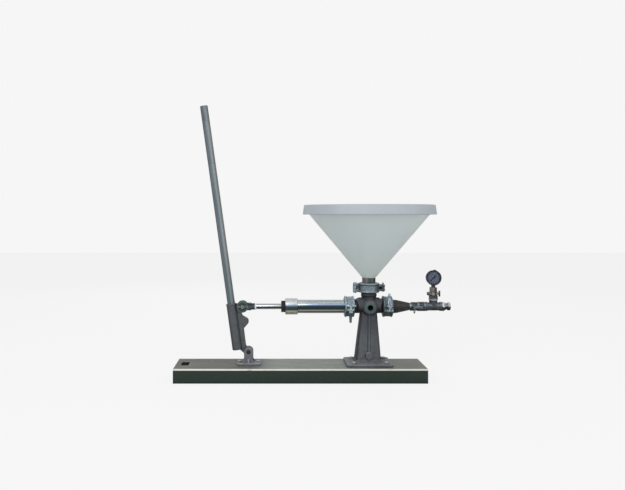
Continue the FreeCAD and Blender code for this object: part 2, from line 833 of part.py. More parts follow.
def clamp_ear_half():
    """Upper half: two outer hinge knuckles and the two ears that hold the lever."""
    parts = [clamp_ring().common(half_space(1))]
    cuts = []
    for low, high in ((-knuckle_end, -knuckle_half - seat_gap), (knuckle_half + seat_gap, knuckle_end)):
        parts.append(rod(vec(low, hinge_reach, 0), along_x, high - low, knuckle_radius))
        parts.append(clamp_arm(1, low, high, clamp_pocket_radius + 1, hinge_reach, knuckle_radius))
    cuts.append(rod(vec(-60, hinge_reach, 0), along_x, 120, clamp_pin_radius))
    for low in (-ear_half_gap - clamp_ear, ear_half_gap):
        parts.append(rod(vec(low, -lever_pin_reach, lever_pin_rise), along_x, clamp_ear, knuckle_radius))
        arm = block(vec(low, -lever_pin_reach, clamp_split / 2 + 1),
                    vec(low + clamp_ear, -clamp_pocket_radius, lever_pin_rise + knuckle_radius))
        parts.append(arm)
    cuts.append(rod(vec(-60, -lever_pin_reach, lever_pin_rise), along_x, 120, clamp_pin_radius))
    return fused(*parts).cut(Part.makeCompound(cuts))


def clamp_catch_half():
    """Lower half: the middle hinge knuckle and the nose that the lever draws up."""
    knuckle = rod(vec(-knuckle_half, hinge_reach, 0), along_x, 2 * knuckle_half, knuckle_radius)
    arm = clamp_arm(-1, -knuckle_half, knuckle_half, clamp_pocket_radius + 1, hinge_reach,
                    knuckle_radius)
    nose_half = ear_half_gap + clamp_ear
    nose = rod(vec(-nose_half, -lever_pin_reach + 4, -8), along_x, 2 * nose_half, 6.5)
    nose_arm = clamp_arm(-1, -nose_half, nose_half, -clamp_pocket_radius, -lever_pin_reach + 4, 14.5)
    solid = fused(clamp_ring().common(half_space(-1)), knuckle, arm, nose, nose_arm)
    return solid.cut(rod(vec(-60, hinge_reach, 0), along_x, 120, clamp_pin_radius))


def clamp_lever():
    """Cam lever: hub on the pin, a hook past the nose and a tail that widens, then tapers."""
    y, z = -lever_pin_reach, lever_pin_rise
    inner = y - 3.2
    outline = [vec(0, y - clamp_lever_hub, z), vec(0, y - clamp_lever_hub - 1, -8), vec(0, y - 8, -20),
               vec(0, y + 3, -44), vec(0, y + 4, -clamp_tail_drop + 2), vec(0, y + 6, -clamp_tail_drop),
               vec(0, y + 10, -clamp_tail_drop), vec(0, y + 11, -44), vec(0, y + 1, -20),
               vec(0, inner, -14), vec(0, inner, z)]
    clear = z - knuckle_radius - 1
    half = [(clamp_lever_half, z + 10), (clamp_lever_half, clear), (clamp_tail_half, clear - 8),
            (clamp_tail_half, clear - 22), (clamp_tip_half, -clamp_tail_drop - 1)]
    spread = [vec(a, 0, b) for a, b in half] + [vec(-a, 0, b) for a, b in reversed(half)]
    bar = prism(outline, along_x, clamp_tail_half + 1).common(prism(spread, along_y, 100))
    hub = rod(vec(-clamp_lever_half, y, z), along_x, 2 * clamp_lever_half, clamp_lever_hub)
    hole = rod(vec(-20, y, z), along_x, 40, clamp_pin_radius + running_gap)
    return fused(bar, hub).cut(hole)


def clamp_pins():
    """Headed hinge pin, and the lever pin whose tip stands out past one ear."""
    head_start = knuckle_end + seat_gap
    hinge = turned([(-head_start - 4, 0), (-head_start - 4, clamp_pin_head - 1),
                    (-head_start - 3, clamp_pin_head), (-head_start, clamp_pin_head),
                    (-head_start, clamp_pin_radius), (head_start, clamp_pin_radius),
                    (head_start, clamp_pin_head), (head_start + 3, clamp_pin_head),
                    (head_start + 4, clamp_pin_head - 1), (head_start + 4, 0)], vec(0, hinge_reach, 0))
    ears = ear_half_gap + clamp_ear
    lever = turned([(-ears - 3, 0), (-ears - 3, clamp_pin_radius + 1.5), (-ears, clamp_pin_radius + 1.5),
                    (-ears, clamp_pin_radius), (ears + 8, clamp_pin_radius),
                    (ears + 10, clamp_pin_radius - 2), (ears + 10, 0)],
                   vec(0, -lever_pin_reach, lever_pin_rise))
    return [hinge, lever]


def clamp_gasket():
    inner = pipe_radius + 0.15
    outer = inner + gasket_thickness
    profile = [(-gasket_half, inner), (-gasket_half, outer), (gasket_half, outer), (gasket_half, inner),
               (7, inner), (5, inner + 4.5), (-5, inner + 4.5), (-7, inner)]
    return turned(profile, vec(0, 0, 0))


def clamp_places():
    """Name and placement of each clamp: lever tail down, rearwards, and up."""
    upside_down = FreeCAD.Rotation(along_y, 180)
    on_end = FreeCAD.Rotation(along_z, 90).multiply(FreeCAD.Rotation(along_y, -90))
    return {"cylinder_clamp": FreeCAD.Placement(cylinder_joint, FreeCAD.Rotation()),
            "hopper_clamp": FreeCAD.Placement(hopper_joint, on_end),
            "outlet_clamp": FreeCAD.Placement(outlet_joint, upside_down)}


def at_clamp(shape, placement):
    copy = shape.copy()
    copy.Placement = placement.multiply(shape.Placement)
    return copy


def save_clamps():
    places = clamp_places()
    pieces = {"ear_half": clamp_ear_half(), "catch_half": clamp_catch_half(), "lever": clamp_lever()}
    for name, placement in places.items():
        for piece, shape in pieces.items():
            save(f"{name}_{piece}", at_clamp(shape, placement))
    save("clamp_pins", *[at_clamp(pin, place) for place in places.values() for pin in clamp_pins()])
    save("clamp_gaskets", *[at_clamp(clamp_gasket(), place) for place in places.values()])


# Hopper and its suction valve

def hopper():
    line = vec(pump_x, 0, 0)
    wall = hopper_wall
    slope = math.atan2(hopper_cone_radius - pipe_radius, hopper_cone_top - hopper_spout_height)
    shift = wall / math.cos(slope)
    inner_low_z = hopper_spout_height
    spigot = pipe_bore - running_gap
    ledge_top = hopper_cone_top + wall
    step_radius = hopper_cone_radius + wall * math.tan(slope) - shift
    profile = [(inner_low_z - spigot_length, spigot), (inner_low_z, spigot),
               (inner_low_z, pipe_radius), (hopper_cone_top, hopper_cone_radius),
               (hopper_cone_top, hopper_rim_radius - 4), (hopper_cone_top + 4, hopper_rim_radius),
               (hopper_top - 4, hopper_rim_top_radius), (hopper_top, hopper_rim_top_radius - 2),
               (hopper_top, hopper_rim_top_radius - wall), (ledge_top, hopper_rim_radius - wall),
               (ledge_top, step_radius), (inner_low_z, pipe_radius - shift),
               (inner_low_z - spigot_length, spigot - spigot_wall)]
    return turned(profile, line, along_z)


def hopper_neck():
    start = hopper_joint + along_z * half_gap
    pipe = ring(start, along_z, hopper_spout_height - start.z, pipe_radius, pipe_bore)
    return grooved(pipe, start, along_z)


def valve_seat(joint, direction):
    """Seat ring: a flange pinched in the joint gap and a nose with the seating edge."""
    nose = half_gap + seat_depth
    profile = [(-half_gap, valve_bore + 4), (-half_gap, pipe_radius - 1), (half_gap, pipe_radius - 1),
               (half_gap, pipe_bore - running_gap), (nose, pipe_bore - running_gap),
               (nose, valve_bore + 2), (nose - 2, valve_bore), (half_gap, valve_bore)]
    return turned(profile, joint, direction)


def seated_offset(radius):
    """Distance from the seat's edge to the centre of a ball that closes it."""
    edge = valve_bore + 1
    return math.sqrt(radius * radius - edge * edge) + seat_gap


def suction_rest_z():
    closed = hopper_joint.z - half_gap - seat_depth + 1 - seated_offset(suction_ball_radius)
    return closed - suction_lift


def suction_stop_z():
    return suction_rest_z() - suction_ball_radius - seat_gap - stop_pin_radius


def suction_ball():
    return Part.makeSphere(suction_ball_radius, vec(pump_x, 0, suction_rest_z()))


def suction_stop_pin():
    half = pipe_bore + stop_pin_grip
    return rod(vec(pump_x, -half, suction_stop_z()), along_y, 2 * half, stop_pin_radius)


# Outlet: discharge valve, reducer, cam coupler, tee and hose adapter

def discharge_closed_x():
    return outlet_joint.x + half_gap + seat_depth - 1 + seated_offset(discharge_ball_radius)


def discharge_ball():
    return Part.makeSphere(discharge_ball_radius, vec(discharge_closed_x(), 0, bore_height))


def discharge_stop_x():
    return (discharge_closed_x() + discharge_lift + discharge_ball_radius + seat_gap
            + stop_pin_radius)


def reducer_start():
    return outlet_joint.x + half_gap


def reducer_outside(x):
    """Outer radius of the reducer's taper at a place along the run."""
    start = reducer_start() + reducer_straight
    share = (x - start) / (reducer_length - reducer_straight)
    return pipe_radius + (reducer_end_radius - pipe_radius) * share


def discharge_stop_pin():
    half = reducer_outside(discharge_stop_x()) - 0.6
    return rod(vec(discharge_stop_x(), -half, bore_height), along_y, 2 * half, stop_pin_radius)


def reducer():
    start = reducer_start()
    end = reducer_length
    profile = [(0, pipe_bore), (0, pipe_radius), (reducer_straight, pipe_radius),
               (end, reducer_end_radius), (end, nipple_bore), (end - 6, nipple_bore),
               (reducer_straight, pipe_bore)]
    line = vec(start, 0, bore_height)
    shell = grooved(turned(profile, line), line, along_x)
    rib_start = half_gap + seat_depth + 1
    rib_x = outlet_joint.x + rib_start
    rib_length = start + reducer_straight - 2 - rib_x
    tip = discharge_ball_radius + 0.4
    ribs = []
    for step in range(guide_rib_count):
        rib = block(vec(rib_x, -guide_rib_width / 2, tip), vec(rib_x + rib_length, guide_rib_width / 2, pipe_bore + 1))
        rib.rotate(vec(0, 0, 0), along_x, 45 + 360 / guide_rib_count * step)
        rib.translate(along_z * bore_height)
        ribs.append(rib)
    return fused(shell, *ribs).cut(discharge_stop_pin())


def nipple_start():
    return reducer_start() + reducer_length


def outlet_nipple():
    start = vec(nipple_start(), 0, bore_height)
    return ring(start, along_x, nipple_visible + nipple_thread, nipple_radius, nipple_bore)


def coupler_start():
    return nipple_start() + nipple_visible


def coupler_cup_start():
    return coupler_start() + hub_collar_length + coupler_ring_length


def coupler_end():
    return coupler_cup_start() + cup_length_x


def cam_pivot(side):
    return vec(coupler_end() - cam_pivot_inset, side * cam_pivot_reach, bore_height)


def coupler_floor():
    return coupler_start() + hub_collar_length + 2


def cam_coupler():
    hub = hub_collar_length
    ring_end = hub + coupler_ring_length
    end = ring_end + cup_length_x
    profile = [(0, nipple_radius), (0, hub_collar_radius - 1), (1, hub_collar_radius),
               (hub - 1, hub_collar_radius), (hub, coupler_ring_radius), (ring_end, coupler_ring_radius),
               (ring_end + 1, cup_radius), (end - 1.5, cup_radius), (end, cup_radius - 1.5),
               (end, cup_mouth), (hub + 2, cup_mouth), (hub + 2, flow_radius),
               (nipple_thread, flow_radius), (nipple_thread, nipple_radius)]
    solid = turned(profile, vec(coupler_start(), 0, bore_height))
    for side in (-1, 1):
        pivot = cam_pivot(side)
        for level in (-1, 1):
            low = level * (cam_slot_half + running_gap)
            high = level * (cam_slot_half + cam_ear)
            base_z = bore_height + min(low, high)
            eye = rod(vec(pivot.x, pivot.y, base_z), along_z, cam_ear, 5.5)
            low_y, high_y = sorted((side * (cup_mouth + 0.6), pivot.y))
            arm = block(vec(pivot.x - 5.5, low_y, base_z), vec(pivot.x + 5.5, high_y, base_z + cam_ear))
            solid = fused(solid, eye, arm)
        slot_x = pivot.x - cam_slot_length / 2
        low_y, high_y = sorted((0, side * (pivot.y * side + 10)))
        slot = block(vec(slot_x, low_y, bore_height - cam_slot_half),
                     vec(slot_x + cam_slot_length, high_y, bore_height + cam_slot_half))
        bore = rod(vec(pivot.x, pivot.y, bore_height - 20), along_z, 40, cam_pin_radius)
        solid = solid.cut(slot).cut(bore)
    return solid


def cam_arm(side):
    """Eccentric in the coupler's slot, a lever laid back along the hub and its pull ring."""
    pivot = cam_pivot(side)
    middle = vec(pivot.x, pivot.y - side * cam_offset, bore_height - cam_half)
    lobe = rod(middle, along_z, 2 * cam_half, cam_radius)

    def at(x, y):
        return vec(pivot.x + x, side * (cam_pivot_reach + y), bore_height)

    outline = [at(4, 1), at(1, 7), at(-20, 8), at(-38, 14), at(-41, 14), at(-41, 9.5),
               at(-37, 8.5), at(-20, 3), at(-6, -3)]
    bar = prism(outline, along_z, cam_half)
    ring_y = side * (cam_pivot_reach + 11.2)
    ring_x = pivot.x - 36.5
    ring_middle = vec(ring_x, ring_y, bore_height - cam_ring_radius)
    eye = rod(vec(ring_x, ring_y - 10, bore_height), along_y, 20, cam_ring_wire + 0.7)
    pin = rod(vec(pivot.x, pivot.y, bore_height - 20), along_z, 40, cam_pin_radius + running_gap)
    pull = Part.makeTorus(cam_ring_radius, cam_ring_wire, ring_middle, along_x)
    return [fused(lobe, bar).cut(pin).cut(eye), pull]


def cam_arm_pins():
    half = cam_slot_half + cam_ear + 0.8
    return [rod(cam_pivot(side) - along_z * half, along_z, 2 * half, cam_pin_radius) for side in (-1, 1)]


def coupler_gasket():
    start = vec(coupler_floor(), 0, bore_height)
    return ring(start, along_x, coupler_gasket_length, cup_mouth - running_gap, flow_radius)


def tee_start():
    return coupler_end()


def tee_mid():
    return tee_start() + tee_run / 2


def tee_adapter():
    """Cam adapter pushed into the coupler, with its thread in the tee."""
    nose = coupler_floor() + coupler_gasket_length
    groove_mid = cam_pivot(-1).x
    groove = (groove_mid - adapter_groove_length / 2, groove_mid + adapter_groove_length / 2)
    slope = 0.8
    profile = [(nose, flow_radius), (nose, adapter_radius - 1), (nose + 1, adapter_radius),
               (groove[0] - slope, adapter_radius), (groove[0], adapter_groove_radius),
               (groove[1], adapter_groove_radius), (groove[1] + slope, adapter_radius),
               (tee_start(), adapter_radius), (tee_start(), thread_radius),
               (tee_start() + thread_length, thread_radius), (tee_start() + thread_length, flow_radius)]
    return turned(profile, vec(0, 0, bore_height))


def tee():
    start = vec(tee_start(), 0, bore_height)
    middle = vec(tee_mid(), 0, bore_height)
    run = turned([(0, 0), (0, tee_band_radius), (tee_band, tee_band_radius), (tee_band + 1.5, tee_radius),
                  (tee_run - tee_band - 1.5, tee_radius), (tee_run - tee_band, tee_band_radius),
                  (tee_run, tee_band_radius), (tee_run, 0)], start)
    branch = turned([(0, 0), (0, tee_radius), (tee_branch - tee_band - 1.5, tee_radius),
                     (tee_branch - tee_band, tee_band_radius), (tee_branch, tee_band_radius),
                     (tee_branch, 0)], middle, along_z)
    solid = fused(run, branch)
    for cutter in (rod(start, along_x, tee_run, flow_radius), rod(start, along_x, thread_length, thread_radius),
                   rod(start + along_x * (tee_run - thread_length), along_x, thread_length, thread_radius),
                   rod(middle, along_z, tee_branch, flow_radius),
                   rod(middle + along_z * (tee_branch - thread_length), along_z, thread_length, thread_radius)):
        solid = solid.cut(cutter)
    return solid


def hose_adapter():
    start = tee_start() + tee_run
    land_start = start + hose_hex_length
    groove_start = land_start + hose_land
    lip_start = groove_start + hose_groove
    end = lip_start + hose_lip
    profile = [(start - thread_length, 0), (start - thread_length, thread_radius), (start, thread_radius),
               (start, adapter_radius), (groove_start - 1, adapter_radius),
               (groove_start + 2, adapter_groove_radius), (lip_start - 3, adapter_groove_radius),
               (lip_start, adapter_radius), (end - 1.5, adapter_radius), (end, adapter_radius - 1.5), (end, 0)]
    line = vec(0, 0, bore_height)
    body = fused(turned(profile, line), hexagon(vec(start, 0, bore_height), along_x, hose_hex_length, hose_hex))
    return body.cut(rod(vec(start - thread_length - 1, 0, bore_height), along_x, end - start + thread_length + 2,
                        hose_bore))


# Gauge branch

def branch_top():
    return bore_height + tee_branch


def stack_point(height):
    return vec(tee_mid(), 0, height)


def cock_bottom():
    return branch_top() + bushing_hex_length


def cock_axis():
    return stack_point(cock_bottom() + cock_body_height / 2)


def cock_top():
    return cock_bottom() + cock_body_height


def branch_bushing():
    low = stack_point(branch_top() - thread_length)
    thread = rod(low, along_z, thread_length, thread_radius)
    head = hexagon(stack_point(branch_top()), along_z, bushing_hex_length, bushing_hex)
    socket = rod(stack_point(cock_bottom() - small_thread_length), along_z, small_thread_length,
                 small_thread_radius)
    return fused(thread, head).cut(rod(low, along_z, 60, small_bore)).cut(socket)


def gauge_cock_body():
    lower = rod(stack_point(cock_bottom() - small_thread_length), along_z,
                small_thread_length, small_thread_radius)
    upper = rod(stack_point(cock_top()), along_z, small_thread_length, small_thread_radius)
    height = cock_body_height
    core = turned([(0, 0), (0, cock_body_radius - 2), (2, cock_body_radius), (height * 0.55, cock_body_radius),
                   (height, cock_body_radius - 4), (height, 0)], stack_point(cock_bottom()), along_z)
    axis = cock_axis()
    barrel = rod(axis - along_x * cock_barrel_half, along_x, 2 * cock_barrel_half, cock_barrel_radius)
    solid = fused(lower, upper, core, barrel)
    seat = rod(axis - along_x * cock_barrel_half, along_x, 2 * cock_barrel_half,
               cock_plug_radius + running_gap)
    flow = rod(stack_point(cock_bottom() - small_thread_length), along_z, 60, small_bore)
    return solid.cut(seat).cut(flow)


def gauge_cock_plug():
    """Plug through the barrel, with a tee bar on its right end and a thread on its left."""
    axis = cock_axis()
    half = cock_barrel_half
    bar_x = half + cock_neck
    thread_end = -half - cock_nut_length - 1.5
    profile = [(thread_end, 0), (thread_end, cock_stem_radius), (-half, cock_stem_radius),
               (-half, cock_plug_radius), (half, cock_plug_radius), (half + 1.5, cock_stem_radius),
               (bar_x, cock_stem_radius), (bar_x, 0)]
    spindle = turned(profile, axis)
    bar = rod(axis + along_x * bar_x - along_z * cock_bar_half, along_z, 2 * cock_bar_half, cock_bar_radius)
    flow = rod(axis - along_z * 20, along_z, 40, small_bore)
    return fused(spindle.cut(flow), bar)


def gauge_cock_nut():
    start = cock_axis() - along_x * (cock_barrel_half + cock_nut_length + seat_gap)
    nut = hexagon(start, along_x, cock_nut_length, cock_nut_width)
    return nut.cut(rod(start, along_x, cock_nut_length, cock_stem_radius))


def gauge_coupling():
    start = stack_point(cock_top())
    solid = hexagon(start, along_z, coupling_length, coupling_hex)
    return solid.cut(rod(start, along_z, coupling_length, small_thread_radius))


def stem_bottom():
    return cock_top() + coupling_length


def gauge_centre():
    return stack_point(stem_bottom() + gauge_stem_height + gauge_rise)


def gauge_stem():
    half = gauge_stem_width / 2
    low = stem_bottom()
    top = low + gauge_stem_height
    centre = stack_point(0)
    bar = block(vec(centre.x - half, -half, low), vec(centre.x + half, half, top + 3))
    bar = bar.cut(rod(gauge_centre() - along_y * 20, along_y, 40, gauge_case_radius))
    thread = rod(stack_point(low - small_thread_length), along_z, small_thread_length, small_thread_radius)
    spigot = rod(stack_point(top - 3), along_z, 10, 5)
    return fused(bar, thread, spigot).cut(rod(stack_point(low - small_thread_length), along_z, 16, small_bore))


def gauge_case():
    rim = gauge_front - 1.5
    inner = gauge_case_radius - gauge_wall
    floor = gauge_dial_depth - gauge_dial_thickness
    profile = [(-gauge_back, 0), (-gauge_back, gauge_case_radius - 4), (-gauge_back + 4, gauge_case_radius),
               (rim, gauge_case_radius), (rim, inner), (floor, inner), (floor, 0)]
    solid = turned(profile, gauge_centre(), along_y * -1)
    spigot = rod(stack_point(gauge_centre().z - gauge_case_radius - 3), along_z, 10, 5)
    spindle = rod(gauge_centre() - along_y * floor, along_y, 3, 1.6)
    filler = fill_plug_rod(gauge_case_radius - 5, gauge_case_radius + 5, fill_plug_radius)
    return solid.cut(spigot).cut(spindle).cut(filler)


def fill_plug_rod(near, far, radius):
    """Bar along the filling plug's axis between two distances from the gauge's middle."""
    angle = math.radians(fill_plug_angle)
    outward = vec(math.cos(angle), 0, math.sin(angle))
    return rod(gauge_centre() + along_y * fill_plug_back + outward * near, outward, far - near, radius)


def gauge_fill_plug():
    """Push-in plug in the top of the case, its head bedded on the case's round side."""
    shank = fill_plug_rod(gauge_case_radius - 5, gauge_case_radius + 1, fill_plug_radius)
    head = fill_plug_rod(gauge_case_radius - 1, gauge_case_radius + fill_plug_rise, fill_plug_head)
    case = rod(gauge_centre() - along_y * 20, along_y, 40, gauge_case_radius)
    return fused(shank, head.cut(case))


def gauge_bezel():
    inner = gauge_case_radius + running_gap
    back = gauge_front - 7
    profile = [(back, inner), (back, gauge_radius), (gauge_front - 1.5, gauge_radius),
               (gauge_front, gauge_radius - 1.5), (gauge_front, gauge_window_radius + 1),
               (gauge_front - 1, gauge_window_radius), (gauge_front - 1.5, gauge_window_radius),
               (gauge_front - 1.5, inner)]
    return turned(profile, gauge_centre(), along_y * -1)


def gauge_dial():
    start = gauge_centre() - along_y * (gauge_dial_depth - gauge_dial_thickness)
    radius = gauge_case_radius - gauge_wall - running_gap
    return ring(start, along_y * -1, gauge_dial_thickness, radius, 1.6)


def gauge_lens():
    start = gauge_centre() - along_y * (gauge_front - 1.5 - gauge_lens_thickness)
    return rod(start, along_y * -1, gauge_lens_thickness, gauge_case_radius - gauge_wall - running_gap)


def gauge_pointer():
    """Needle with a broad tail, on a spindle through the dial."""
    low, high = gauge_dial_depth + 0.8, gauge_dial_depth + 1.6
    centre = gauge_centre()
    angle = math.radians(pointer_rest_angle)
    tip = vec(math.cos(angle), 0, math.sin(angle))
    side = vec(-tip.z, 0, tip.x)
    middle = centre - along_y * ((low + high) / 2)
    outline = [middle + tip * pointer_length, middle + side * 1.6,
               middle - tip * pointer_tail + side * 2.6, middle - tip * pointer_tail - side * 2.6,
               middle - side * 1.6]
    needle = prism(outline, along_y, (high - low) / 2)
    cap = rod(centre - along_y * low, along_y * -1, 1.6, 3.2)
    spindle = rod(centre - along_y * (gauge_dial_depth - 2.5), along_y * -1, low - gauge_dial_depth + 3, 1.5)
    return fused(needle, cap, spindle)


def main():
    os.makedirs("parts", exist_ok=True)
    save("base_channel", base_channel())
    save("base_bolts", *base_bolts())
    save("base_nuts", *base_nuts())
    save("pump_body", pump_body())
    save("cleanout_plug", cleanout_plug())
    save("cylinder_tube", cylinder_tube())
    save("cylinder_cap", cylinder_cap())
    save("rod_gland", rod_gland())
    save("rod_packing", rod_packing())
    save("piston_rod", piston_rod())
    save("piston_plates", *piston_plates())
    save("piston_cups", *piston_cups())
    save("rod_clevis", rod_clevis())
    save("clevis_pin", clevis_pin())
    save("clevis_cotter", clevis_cotter())
    save("lever_casting", lever_casting())
    save("handle_pipe", handle_pipe())
    save("handle_set_screw", handle_set_screw())
    save("pivot_bracket", pivot_bracket())
    save("pivot_pin", *pivot_pin())
    save_clamps()
    save("hopper", hopper())
    save("hopper_neck", hopper_neck())
    save("suction_seat", valve_seat(hopper_joint, along_z * -1))
    save("suction_ball", suction_ball())
    save("discharge_seat", valve_seat(outlet_joint, along_x))
    save("discharge_ball", discharge_ball())
    save("valve_stop_pins", suction_stop_pin(), discharge_stop_pin())
    save("reducer", reducer())
    save("outlet_nipple", outlet_nipple())
    save("cam_coupler", cam_coupler())
    save("cam_arm_front", *cam_arm(-1))
    save("cam_arm_rear", *cam_arm(1))
    save("cam_arm_pins", *cam_arm_pins())
    save("coupler_gasket", coupler_gasket())
    save("tee_adapter", tee_adapter())
    save("tee", tee())
    save("hose_adapter", hose_adapter())
    save("branch_bushing", branch_bushing())
    save("gauge_cock_body", gauge_cock_body())
    save("gauge_cock_plug", gauge_cock_plug())
    save("gauge_cock_nut", gauge_cock_nut())
    save("gauge_coupling", gauge_coupling())
    save("gauge_stem", gauge_stem())
    save("gauge_case", gauge_case())
    save("gauge_fill_plug", gauge_fill_plug())
    save("gauge_bezel", gauge_bezel())
    save("gauge_dial", gauge_dial())
    save("gauge_lens", gauge_lens())
    save("gauge_pointer", gauge_pointer())


main()
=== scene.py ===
import json
import math
import bmesh
import bpy
from mathutils import Matrix, Vector


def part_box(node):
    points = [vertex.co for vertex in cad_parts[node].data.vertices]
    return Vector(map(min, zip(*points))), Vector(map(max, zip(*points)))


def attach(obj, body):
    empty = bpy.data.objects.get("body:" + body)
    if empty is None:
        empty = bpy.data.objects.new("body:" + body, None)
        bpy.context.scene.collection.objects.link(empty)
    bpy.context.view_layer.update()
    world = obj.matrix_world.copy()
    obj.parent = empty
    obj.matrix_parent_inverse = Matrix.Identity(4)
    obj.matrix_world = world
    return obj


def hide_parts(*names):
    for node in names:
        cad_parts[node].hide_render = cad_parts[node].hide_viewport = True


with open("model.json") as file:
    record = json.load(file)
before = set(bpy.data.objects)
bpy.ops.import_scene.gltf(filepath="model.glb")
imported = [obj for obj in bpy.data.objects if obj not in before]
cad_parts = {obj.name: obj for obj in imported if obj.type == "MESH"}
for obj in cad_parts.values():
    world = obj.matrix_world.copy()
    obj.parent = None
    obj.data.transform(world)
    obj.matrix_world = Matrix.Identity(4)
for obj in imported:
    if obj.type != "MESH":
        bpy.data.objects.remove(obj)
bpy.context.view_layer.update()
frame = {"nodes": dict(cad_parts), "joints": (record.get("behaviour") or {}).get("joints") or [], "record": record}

nodes = frame["nodes"]
mm = 0.001
bodyOf = {name: body for body, names in frame["record"]["behaviour"]["bodies"].items() for name in names}
slotOf = {row["node"]: row["material_slot"] for row in frame["record"]["subparts"]}
xAxis, yAxis, zAxis = Vector((1, 0, 0)), Vector((0, 1, 0)), Vector((0, 0, 1))
print("frame loaded:", len(nodes), "nodes")


def addObject(name, data):
    obj = bpy.data.objects.new(name, data)
    bpy.context.scene.collection.objects.link(obj)
    return obj


# Camera, as far off and as high as the photograph's perspective says
view = {"place": (-0.1914, -2.789, 0.744), "lens": 35.31, "shiftX": 0.0664, "shiftY": -0.0496}
cameraData = bpy.data.cameras.new("camera")
camera = addObject("camera", cameraData)
camera.location = view["place"]
camera.rotation_euler = (math.pi / 2, 0, 0)
cameraData.lens = view["lens"]
cameraData.sensor_width = 36
cameraData.shift_x = view["shiftX"]
cameraData.shift_y = view["shiftY"]
bpy.context.scene.camera = camera
bpy.context.scene.view_settings.view_transform = "Standard"


# Shader maths
def tone(red, green, blue):
    # a colour as it shows on screen, 0 to 255, turned into a linear one
    parts = [part / 255 for part in (red, green, blue)]
    return tuple(((p + 0.055) / 1.055) ** 2.4 if p > 0.04 else p / 12.92 for p in parts) + (1.0,)


def bands(*rows):
    # a ramp's stops, from rows of place, red, green and blue
    return [(place, tone(*colour)) for place, *colour in rows]


def lightZones(left, right, *rows):
    # what is left of the light along a row of pieces: two places in metres, then shares of each colour
    return {"left": left, "right": right, "shares": [(place, (*share, 1.0)) for place, *share in rows]}


class Value:
    # a node's output that sums can be made of
    def __init__(self, shader, socket):
        self.shader = shader
        self.socket = socket

    def maths(self, operation, *terms):
        return self.shader.node("ShaderNodeMath", {"operation": operation}, dict(enumerate(terms)))

    def __add__(self, other):
        return self.maths("ADD", self, other)

    def __radd__(self, other):
        return self.maths("ADD", other, self)

    def __sub__(self, other):
        return self.maths("SUBTRACT", self, other)

    def __rsub__(self, other):
        return self.maths("SUBTRACT", other, self)

    def __mul__(self, other):
        return self.maths("MULTIPLY", self, other)

    def __rmul__(self, other):
        return self.maths("MULTIPLY", other, self)

    def __truediv__(self, other):
        return self.maths("DIVIDE", self, other)

    def __abs__(self):
        return self.maths("ABSOLUTE", self)

    def rise(self, low, high):
        # 0 at low and 1 at high, smooth between and level beyond
        settings = {"interpolation_type": "SMOOTHSTEP"}
        return self.shader.node("ShaderNodeMapRange", settings, {0: self, 1: low, 2: high, 3: 0.0, 4: 1.0})


